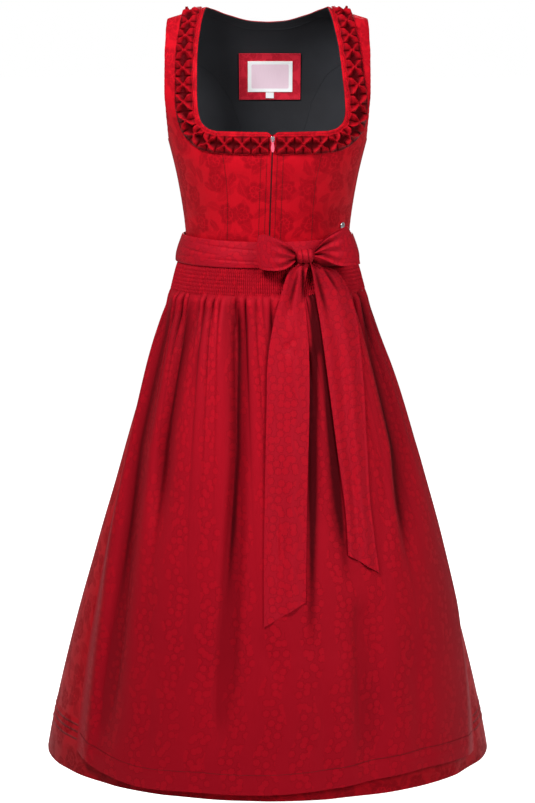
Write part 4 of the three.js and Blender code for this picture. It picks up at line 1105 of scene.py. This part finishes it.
def apronPoints(name, share, rows, isHead):
    # The head's pleats are raised cosines to a power, pinched by a bell at each row of
    # stitches. The sheet has the folds, and a small step at its hem.
    z = hemDrop(share, rows)
    theta, height, hollow, nearEdge = apronSurface(share, z)
    if isHead:
        rib = (0.5 - 0.5 * np.cos(turn * apron["pleats"] * share)) ** 0.8
        pinch = 1
        for row in range(apron["stitchRows"]):
            away = (z - apron["stitchTop"] + row * apron["stitchPitch"]) / 0.8
            pinch = pinch - 0.45 * np.exp(-away * away)
        puff = rib * pinch * (0.85 + 0.15 * np.sin(share * 61) * np.sin(share * 23 + 1))
        extra = apron["pleatHeight"] * puff * nearEdge * (1 - smooth(-z, 387, 391))
        # Painted shade darkens the pleats' valleys.
        hollow = 0.32 * (1 - puff) ** 2 * nearEdge
        height = readColumn(apronFullness, "rise", z) * nearEdge
    else:
        extra = 0.35 * smooth(-z, 1015, 1016.5) * nearEdge
        # Painted shade darkens the sheet's top just under the head.
        hollow = hollow + 0.25 * (1 - smooth(-z, 387, 395)) * nearEdge
        height = height - 2.6 * (1 - smooth(-z, 385, 392))
    base = apron["gap"] + apron["cloth"] + height
    outer, inner = skirtPoint(theta, z, base + extra), skirtPoint(theta, z, base - apron["cloth"])
    uv = stacked((share - 0.5) * apron["cut"][0], z)
    return clothPiece("apron", outer, inner, uv, "apron", "apron_cloth", hollow + 0 * theta, name)


def addApron():
    headShare = np.linspace(0, 1, apron["pleats"] * apron["perPleat"] + 1)[None, :]
    headRows = np.linspace(waistLevel - 2.5, -391.5, 54)[:, None]
    head = apronPoints("apronHead", headShare, headRows, True)
    share = np.linspace(0, 1, apron["columns"] + 1)[None, :]
    rows = spacedHeights((-383.5, -432, 24), (-432, -640, 38), (-640, -1020, 48),
                         (-1020, apron["hemLevel"], 9))
    sheet = apronPoints("apronSheet", share, rows, False)
    z = hemDrop(share, apron["hemStitch"] + 0 * share)
    theta, height, *unused = apronSurface(share, z)
    top = apron["gap"] + apron["cloth"] + height
    line, out = (skirtPoint(theta, z, top + lift)[0, 4:-4] for lift in (0.3, 1.3))
    stitchPiece("apronHemStitch", line, out - line)


addApron()
print("apron gathered")

# The tie is wound round the waist over the apron's head.

wrapRows = table("z half", [
    [-351.5, 129.5], [-343, 128.8], [-334, 126.4], [-325, 123], [-316.5, 119.6]])
wrap = {"bottom": -351.5, "height": 35, "sideRise": 2.5, "depth": 0.815, "clear": 1.5, "wall": 2}
wrapCreases = [
    (-82, -330, -30, -336, 1.4, 1.0), (-60, -322, 2, -329, 1.3, 0.8),
    (-44, -341, 6, -344, 1.5, 0.9),
    (-88, -344, -50, -340, 1.6, 0.7), (100, -330, 170, -336, 1.5, 0.9),
    (180, -326, 250, -332, 1.5, 0.9),
    (130, -342, 210, -343, 1.6, 0.8), (30, -328, 80, -334, 1.5, 0.8),
]


def wrapPoint(angle, z, offset):
    theta = np.radians(angle)
    lifted = z + wrap["sideRise"] * np.sin(theta) ** 2 * (z - wrap["bottom"]) / wrap["height"]
    half = readColumn(wrapRows, "half", z)
    depth = half * wrap["depth"] + wrap["clear"] + offset
    return stacked((half + offset) * np.sin(theta), -depth * np.cos(theta), lifted)


for node, start, end in (("tie_wrap_front", -90, 90), ("tie_wrap_back", 90, 270)):
    inset = math.degrees(bodiceForm["seamGap"] / 2 / 120)
    angle = np.linspace(start + inset, end - inset, 145)[None, :]
    z = np.linspace(wrap["bottom"], wrap["bottom"] + wrap["height"], 40)[:, None]
    edge = np.minimum(z - wrap["bottom"], wrap["bottom"] + wrap["height"] - z)
    angle, z, edge = np.broadcast_arrays(angle, z, edge)
    ease = smooth(np.minimum(angle - start, end - angle), 0, 5)
    offset = -creaseDepth(wrapCreases, angle, z) * ease + 0.5 * smooth(edge, 0, 1.2) - 0.5
    outer = wrapPoint(angle, z, offset)
    inner = wrapPoint(angle, z, np.full(angle.shape, -wrap["wall"]))
    piece = clothPiece(node, outer, inner, stacked(z, angle * 2.1), "tie", "apron_cloth")
    asSheet(piece, outer)
print("tie wound")

# The bow: a knot, two loops and two tails.

knot = {"x": 51, "z": -334.2, "halfX": 12.2, "halfZ": 9.2, "halfY": 10.5, "clear": 2.6, "ridges": 3,
        "columns": 72}


def addKnot():
    # A barrel whose girth swings three times along it, the swing slanting round the barrel.
    half = float(readColumn(wrapRows, "half", knot["z"]))
    face = (half * wrap["depth"] + wrap["clear"]) * math.sqrt(1 - (knot["x"] / half) ** 2)
    y = -face - knot["halfY"] - knot["clear"]
    along = np.sin(np.linspace(-math.pi / 2, math.pi / 2, 61))[1:-1, None]
    cols = knot["columns"]
    angle = (np.arange(cols) * turn / cols)[None, :]
    slant = math.pi * knot["ridges"] * along + 1.1 * np.sin(angle + 0.6)
    ridge = 1 + 0.07 * np.abs(np.cos(slant / 2)) ** 0.7 + 0.02 * np.cos(2.7 * slant + 1) - 0.03
    girth = (1 - 0.5 * np.abs(along) ** 6) * ridge
    girth = girth * np.sqrt(np.clip(1 - np.abs(along) ** 14, 0.02, 1))
    points = stacked(knot["x"] + knot["halfX"] * along, y + knot["halfY"] * girth * np.cos(angle),
                     knot["z"] + knot["halfZ"] * girth * np.sin(angle))
    i, j = gridCorners(len(points), cols, True)
    quads = (i * cols + j % cols).reshape(-1, 4)[:, ::-1]
    ends = [[knot["x"] + way * knot["halfX"], y, knot["z"]] for way in (-1, 1)]
    points = np.concatenate([points.reshape(-1, 3), ends])
    first, last = len(points) - 2, len(points) - 1
    caps = [[first, (k + 1) % cols, k] for k in range(cols)]
    caps += [[last, first - cols + k, first - cols + (k + 1) % cols] for k in range(cols)]
    faces = outwardFaces(points, quads, caps)
    x, y, z = points[np.concatenate(faces)].T
    piece = meshPiece("bowKnot", points, faces, np.stack([x * 1.3, (z - y) * 1.2], -1))
    # Painted shade darkens the knot's creases.
    paintShade(piece, 0.8 * np.exp(-((np.cos(slant / 2) / 0.28) ** 2)))
    dress(piece, "tie", "bow_knot", "apron_cloth")


addKnot()

loops = {
    "left": {"bulge": -3, "rows": table("reach topX topZ bottomX bottomZ nearY farY", [
        [0, 38, -327.5, 38, -341, -113, -107], [0.2, 31, -320, 31, -346.5, -119, -107],
        [0.45, 20, -313.5, 20, -351.5, -124, -109], [0.7, 6, -307.5, 5, -352.5, -125, -111],
        [0.9, -6, -304.5, -6, -351.5, -121.5, -113], [1, -13, -306, -11, -350.5, -117.5, -117]])},
    "right": {"bulge": 2.5, "rows": table("reach topX topZ bottomX bottomZ nearY farY", [
        [0, 64, -326, 64, -334, -112, -106], [0.2, 76, -312.5, 76, -337.5, -116, -101],
        [0.5, 94, -301.5, 95, -346, -115, -91], [0.75, 103, -298, 111, -347.5, -108, -84],
        [0.92, 109, -296.5, 122, -347.5, -98, -82], [1, 111, -298, 127, -347, -90, -88]])},
}
loopForm = {"gather": 3.6, "wall": 1.4, "leafSteps": 46, "acrossSteps": 44}


def addLoop(word):
    # The ribbon goes out on the near leaf, round the end fold and back on the far one. Its
    # reach follows a quarter sine, so that it turns round smoothly at the end.
    rows, bulge = loops[word]["rows"], loops[word]["bulge"]
    steps = loopForm["leafSteps"]
    step = np.arange(2 * steps + 1)[:, None]
    isNear = step <= steps
    part = np.where(isNear, step / steps, (2 * steps - step) / steps)
    reach = np.sin(part * math.pi / 2)
    across = np.linspace(0, 1, loopForm["acrossSteps"] + 1)[None, :]
    topX, topZ, bottomX, bottomZ, nearY, farY = readAll(
        rows, "topX topZ bottomX bottomZ nearY farY", reach)
    fine = 0.45 * np.cos(turn * 5.5 * across + 1) * (1 - smooth(reach, 0, 0.35))
    gather = loopForm["gather"] * (1 - smooth(reach, 0.1, 0.6)) * (np.cos(2 * turn * across) + fine)
    ray = 1.2 * np.cos(turn * (3 * across + 0.2))
    ray = ray * smooth(reach, 0.1, 0.3) * (1 - smooth(reach, 0.45, 0.8))
    hem = 0.4 * np.exp(-((across * (topZ - bottomZ) - 3.2) / 0.7) ** 2)
    x = mix(bottomX, topX, across) + bulge * np.sin(math.pi * across) * reach**6
    z = mix(bottomZ, topZ, across)
    half = (farY - nearY) / 2
    leaf = (nearY + farY) / 2 + np.where(isNear, -half, half) - gather * 0.5
    outer = stacked(x, leaf - np.where(isNear, ray - hem, 0) * np.minimum(1, half), z)
    # The wall lies between the leaves, and at the end fold it lies back along the ribbon.
    isFold = step == steps
    inwards = np.where(isFold, 0, np.where(isNear, 1, -1)) * loopForm["wall"]
    back = np.where(isFold, loopForm["wall"], 0) * np.sign(rows["topX"][-1] - rows["topX"][0])
    inner = stacked(x - back, leaf + inwards, z)
    # Painted shade darkens the gathered folds near the knot.
    deep = (0.5 - 0.5 * np.cos(2 * turn * across)) ** 1.5 * (1 - smooth(reach, 0.12, 0.5))
    uv = stacked(across * 46, step * 2.3)
    piece = clothPiece(f"bow_loop_{word}", outer, inner, uv, "tie", "apron_cloth", 0.85 * deep)
    asSheet(piece, outer)


tails = {
    "left": {"rows": table("leftX leftZ rightX rightZ lift", [
        [43, -344.2, 57, -344.2, 19], [29.5, -354, 54, -354, 17.5], [22.4, -372, 51.5, -372, 15],
        [17, -392, 50.5, -390, 13.5], [9, -420, 53, -420, 14], [0.4, -473, 56.5, -465, 14.5],
        [-1.4, -542, 56.8, -540, 15], [-3.4, -645, 54, -640, 14.5], [-5, -740, 52.6, -720, 13],
        [-4.7, -823.6, 52, -791.8, 12]]),
        "creases": [
            (49, -340, 50, -402, 2.6, 4.2), (44, -344, 26, -420, 3.4, 3.2),
            (40, -440, 22, -462, 5, 2.6), (20, -452, 44, -470, 4, 2.0),
            (30, -480, 40, -600, 7, 1.6), (14, -600, 20, -760, 8, 1.6)]},
    "right": {"rows": table("leftX leftZ rightX rightZ lift", [
        [57.6, -343.9, 66, -344.4, 20.5], [61, -354, 92, -355, 20], [63, -365, 102, -366, 17.5],
        [65, -378, 109, -378, 15], [67, -394, 114.5, -394, 14], [73, -430, 124, -430, 14],
        [83.4, -505, 131.6, -505, 15], [94.3, -588, 136, -588, 15], [106, -672, 141, -672, 14.5],
        [110, -733.5, 152.7, -761, 13.5]]),
        "creases": [
            (62, -338, 88, -430, 3.6, 3.4), (70, -340, 104, -392, 3, 3.0),
            (100, -440, 112, -560, 7, 1.6), (116, -600, 124, -700, 7, 1.4)]},
}
tailForm = {"crease": 2.2, "wall": 1.3, "columns": 40, "perRow": 14}


def addTail(word):
    # The ribbon lies between its two edges, a little off the apron, with one wave across.
    rows = tails[word]["rows"]
    last = len(rows["lift"]) - 1
    rows = dict(row=np.arange(last + 1.0), **rows)
    at = np.linspace(0, last, tailForm["perRow"] * last + 1)[:, None]
    share = np.linspace(0, 1, tailForm["columns"] + 1)[None, :]
    leftX, leftZ, rightX, rightZ, lift = readAll(rows, "leftX leftZ rightX rightZ lift", at)
    x, z = mix(leftX, rightX, share), mix(leftZ, rightZ, share)
    edge = np.minimum(share, 1 - share) * (rightX - leftX)
    hem = 0.35 * np.exp(-((edge - 3.2) / 0.7) ** 2)
    lift = lift + tailForm["crease"] * np.sin(math.pi * share) * np.cos(3 * math.pi * share)
    detail = creaseDepth(tails[word]["creases"], x, z) + hem
    theta = np.arcsin(x / (readColumn(skirtProfile, "half", z) + lift))
    outer = skirtPoint(theta, z, lift - detail)
    inner = skirtPoint(theta, z, lift - detail - tailForm["wall"])
    # Painted shade darkens the creases near the knot.
    deep = 0.85 * smooth(detail, 0.8, 3.4) * smooth(z, -440, -385)
    piece = clothPiece(f"bow_tail_{word}", outer, inner, stacked(x, z), "tie", "apron_cloth", deep)
    asSheet(piece, outer)


for word in ("left", "right"):
    addLoop(word)
    addTail(word)
print("bow tied")

# The zip: a tape behind the front edges with its closed chain, the slider and the pull tab.

zipForm = {"top": -168.5, "bottom": -333.6, "rows": 90, "tapeWall": 0.8, "chainHalf": 0.7,
           "chainLift": 1.2,
           "places": [-13, -9, -4.8, -2.6, -0.8, -0.65, 0.65, 0.8, 2.6, 4.8, 9, 13]}


def addZip():
    z = np.linspace(zipForm["bottom"], zipForm["top"], zipForm["rows"])[:, None]
    across = np.array(zipForm["places"])[None, :]
    x = readColumn(centreLine, "x", z) + across
    lift = np.where(np.abs(across) < zipForm["chainHalf"], zipForm["chainLift"], 0)
    theta, level = bodicePlace(x, z, True)
    outer = bodicePoint(theta, level, liningFace + lift + 0 * z)
    inner = bodicePoint(theta, level, np.full(theta.shape, liningFace - zipForm["tapeWall"]))
    piece = clothPiece("zip_tape", outer, inner, stacked(x, z), "tape", "zip_tape",
                       name="zipTapeAndChain")
    asSheet(piece, inner)


def hardPiece(node, finish, slotName, body, bevel):
    # The node's own loose triangles are merged in a copy, whose edges are then rounded.
    piece = bpy.data.objects.new(camel(node) + "Rounded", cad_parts[node].data.copy())
    scene.collection.objects.link(piece)
    piece.data.materials.clear()
    weld = piece.modifiers.new("weld", "WELD")
    weld.merge_threshold = 0.00001
    rounding = piece.modifiers.new("rounding", "BEVEL")
    rounding.width, rounding.segments, rounding.limit_method = bevel * metre, 3, "ANGLE"
    rounding.angle_limit = math.radians(25)
    dress(piece, finish, node, slotName, body)


addZip()
hardPiece("zip_slider", "metal", "zip_metal", "dress", 0.18)
hardPiece("zip_pull", "pull", "pull_enamel", "pull_tab", 0.22)

badge = {"x": 103, "z": -299, "columns": 64, "profile": [
    (0.001, 0), (4.6, 0), (4.9, 0.1), (5.0, 0.4), (4.95, 0.75), (4.7, 1.05), (4.3, 1.1),
    (4.05, 0.85), (3.8, 0.82), (3.2, 1.1), (2.2, 1.38), (1.1, 1.55), (0.001, 1.6)]}


def addBadge():
    # A profile turned round the line that stands straight out of the cloth.
    foot = onBodice(badge["x"], badge["z"], True, 0.5)
    out = onBodice(badge["x"], badge["z"], True, 1.5) - foot
    across = unit(np.cross([0, 0, 1], out))
    up = np.cross(out, across)
    radius, height = np.array(badge["profile"]).T[:, :, None, None]
    cols = badge["columns"]
    ring = np.arange(cols)
    angle = (ring * turn / cols)[None, :, None]
    points = foot + out * height + across * radius * np.cos(angle) + up * radius * np.sin(angle)
    i, j = gridCorners(len(points), cols, True)
    quads = (i * cols + j % cols).reshape(-1, 4)
    ends = [ring[::-1].tolist(), (ring + (len(points) - 1) * cols).tolist()]
    points = points.reshape(-1, 3)
    piece = meshPiece("badgeDisc", points, outwardFaces(points, quads, ends))
    dress(piece, "badge", "badge", "badge_metal")


addBadge()

# Inside the back: the red patch, the bare label and the bare size tag.

labels = [
    {"node": "label_patch", "piece": "labelPatch", "x": (-41, 47.5), "z": (-133, -65.5),
     "near": 1.6, "far": 2.5, "finish": "patch", "slot": "dress_cloth", "grid": (40, 30),
     "stitched": "thread"},
    {"node": "label", "piece": "wovenLabelCloth", "x": (-28.5, 36), "z": (-121.5, -76.5),
     "near": 2.9, "far": 3.6, "finish": "label", "slot": "label_cloth", "grid": (44, 32),
     "stitched": "tag"},
    {"node": "size_tag", "piece": "sizeTagCloth", "x": (-2.5, 9), "z": (-131, -122.2),
     "near": 3.1, "far": 3.8, "finish": "tag", "slot": "tag_cloth", "grid": (12, 10),
     "cut": (0.0116, 0.0105)},
]
labelSeam = 1.8
for label in labels:
    (x0, x1), (z0, z1), (columns, rows) = label["x"], label["z"], label["grid"]
    x, z = np.meshgrid(np.linspace(x0, x1, columns + 1), np.linspace(z0, z1, rows + 1))
    face, back = (onBodice(x, z, False, liningInner - label[key]) for key in ("far", "near"))
    uv = np.stack([x - (x0 + x1) / 2, z - z0], -1)
    piece = clothPiece(label["node"], face, back, uv, label["finish"], label["slot"],
                       name=label["piece"])
    asSheet(piece, face, flat=label.get("cut"))
    if "stitched" in label:
        left, right, low, high = x0 + labelSeam, x1 - labelSeam, z0 + labelSeam, z1 - labelSeam
        at, corners = np.linspace(0, 4, 161), np.arange(5)
        ringX = np.interp(at, corners, [left, right, right, left, left])
        ringZ = np.interp(at, corners, [low, low, high, high, low])
        lift = liningInner - label["far"] - 0.1
        bodiceStitches(f"{label['piece']}Stitch", ringX, ringZ, False, lift, pitch=2.2,
                       length=1.5, radius=0.18, finish=label["stitched"])

# The lining's two princess seams and its facing line below the back neckline show as ridges.
backRows = panelRows["centreBack"]["rows"]
seamZ = np.linspace(-330, -68, 120)
seamX = np.interp(seamZ, backRows["farZ"][:9], backRows["farX"][:9])
facingX = np.linspace(-80, 80, 90)
facingZ = -31 + 19 * smooth(np.abs(facingX), 20, 92)
ridges = {"SeamLeft": (borderX(seamX, seamZ, -1), seamZ),
          "SeamRight": (borderX(seamX, seamZ, 1), seamZ), "Facing": (facingX, facingZ)}
for word, (x, z) in ridges.items():
    bodiceStitches(f"lining{word}", x, z, False, liningInner - 0.1, pitch=2.6, length=2.8,
                   radius=0.55, finish="lining")
print("labels sewn")

# The studio: a pale floor below the hem, soft light and the photo's viewpoint.

studio = {"floor": -1.32, "floorHalf": 30.0, "floorGlow": 0.9, "cameraPlace": (0.0, -3.4, 0.04),
          "cameraAim": (0.0, 0.0, -0.554), "lens": 109.01, "world": 0.14, "lightAim": (0, 0, -0.5)}
studioLights = {
    "keyLight": {"place": (-0.62, -1.05, 0.9), "size": 0.45, "power": 36},
    "fillLight": {"place": (1.5, -1.75, 0.65), "size": 1.0, "power": 37},
    "rimLight": {"place": (0.3, 3.0, 0.7), "size": 1.2, "power": 34},
}


def seenByCamera(s):
    return Number(s.node("ShaderNodeLightPath", {}).outputs["Is Camera Ray"])


def place(name, data, spot, aim):
    thing = bpy.data.objects.new(name, data)
    thing.location = spot
    thing.rotation_euler = (Vector(aim) - Vector(spot)).to_track_quat("-Z", "Y").to_euler()
    scene.collection.objects.link(thing)
    return thing


def addStudio():
    mesh = bpy.data.meshes.new("studioFloor")
    half, level = studio["floorHalf"], studio["floor"]
    ways = [(-1, -1), (1, -1), (1, 1), (-1, 1)]
    corners = [(half * a, half * b, level) for a, b in ways]
    mesh.from_pydata(corners, [], [(0, 1, 2, 3)])
    floor = bpy.data.objects.new("studioFloor", mesh)
    scene.collection.objects.link(floor)
    material, s, shader = newMaterial("paleFloor", Roughness=0.9, Emission_Color=(1, 1, 1, 1))
    shade = s.ramp(objectNoise(s, 1.5), 0.3, 0.7)
    wire(s.blend(shade, (0.93, 0.93, 0.93, 1), (0.9, 0.9, 0.9, 1)), shader.inputs["Base Color"])
    wire(seenByCamera(s) * studio["floorGlow"], shader.inputs["Emission Strength"])
    mesh.materials.append(material)
    scene.world = scene.world or bpy.data.worlds.new("studio")
    scene.world.use_nodes = True
    background = scene.world.node_tree.nodes["Background"]
    background.inputs[0].default_value = (1, 1, 1, 1)
    sky = seenByCamera(Tree(scene.world.node_tree))
    wire(sky * (1 - studio["world"]) + studio["world"], background.inputs[1])
    scene.view_settings.view_transform = "Standard"
    for name, settings in studioLights.items():
        light = bpy.data.lights.new(name, "AREA")
        light.energy, light.size = settings["power"], settings["size"]
        place(name, light, settings["place"], studio["lightAim"])
    lens = bpy.data.cameras.new("photoCamera")
    lens.lens, lens.clip_end = studio["lens"], 100
    scene.camera = place("photoCamera", lens, studio["cameraPlace"], studio["cameraAim"])


addStudio()
print("studio lit")
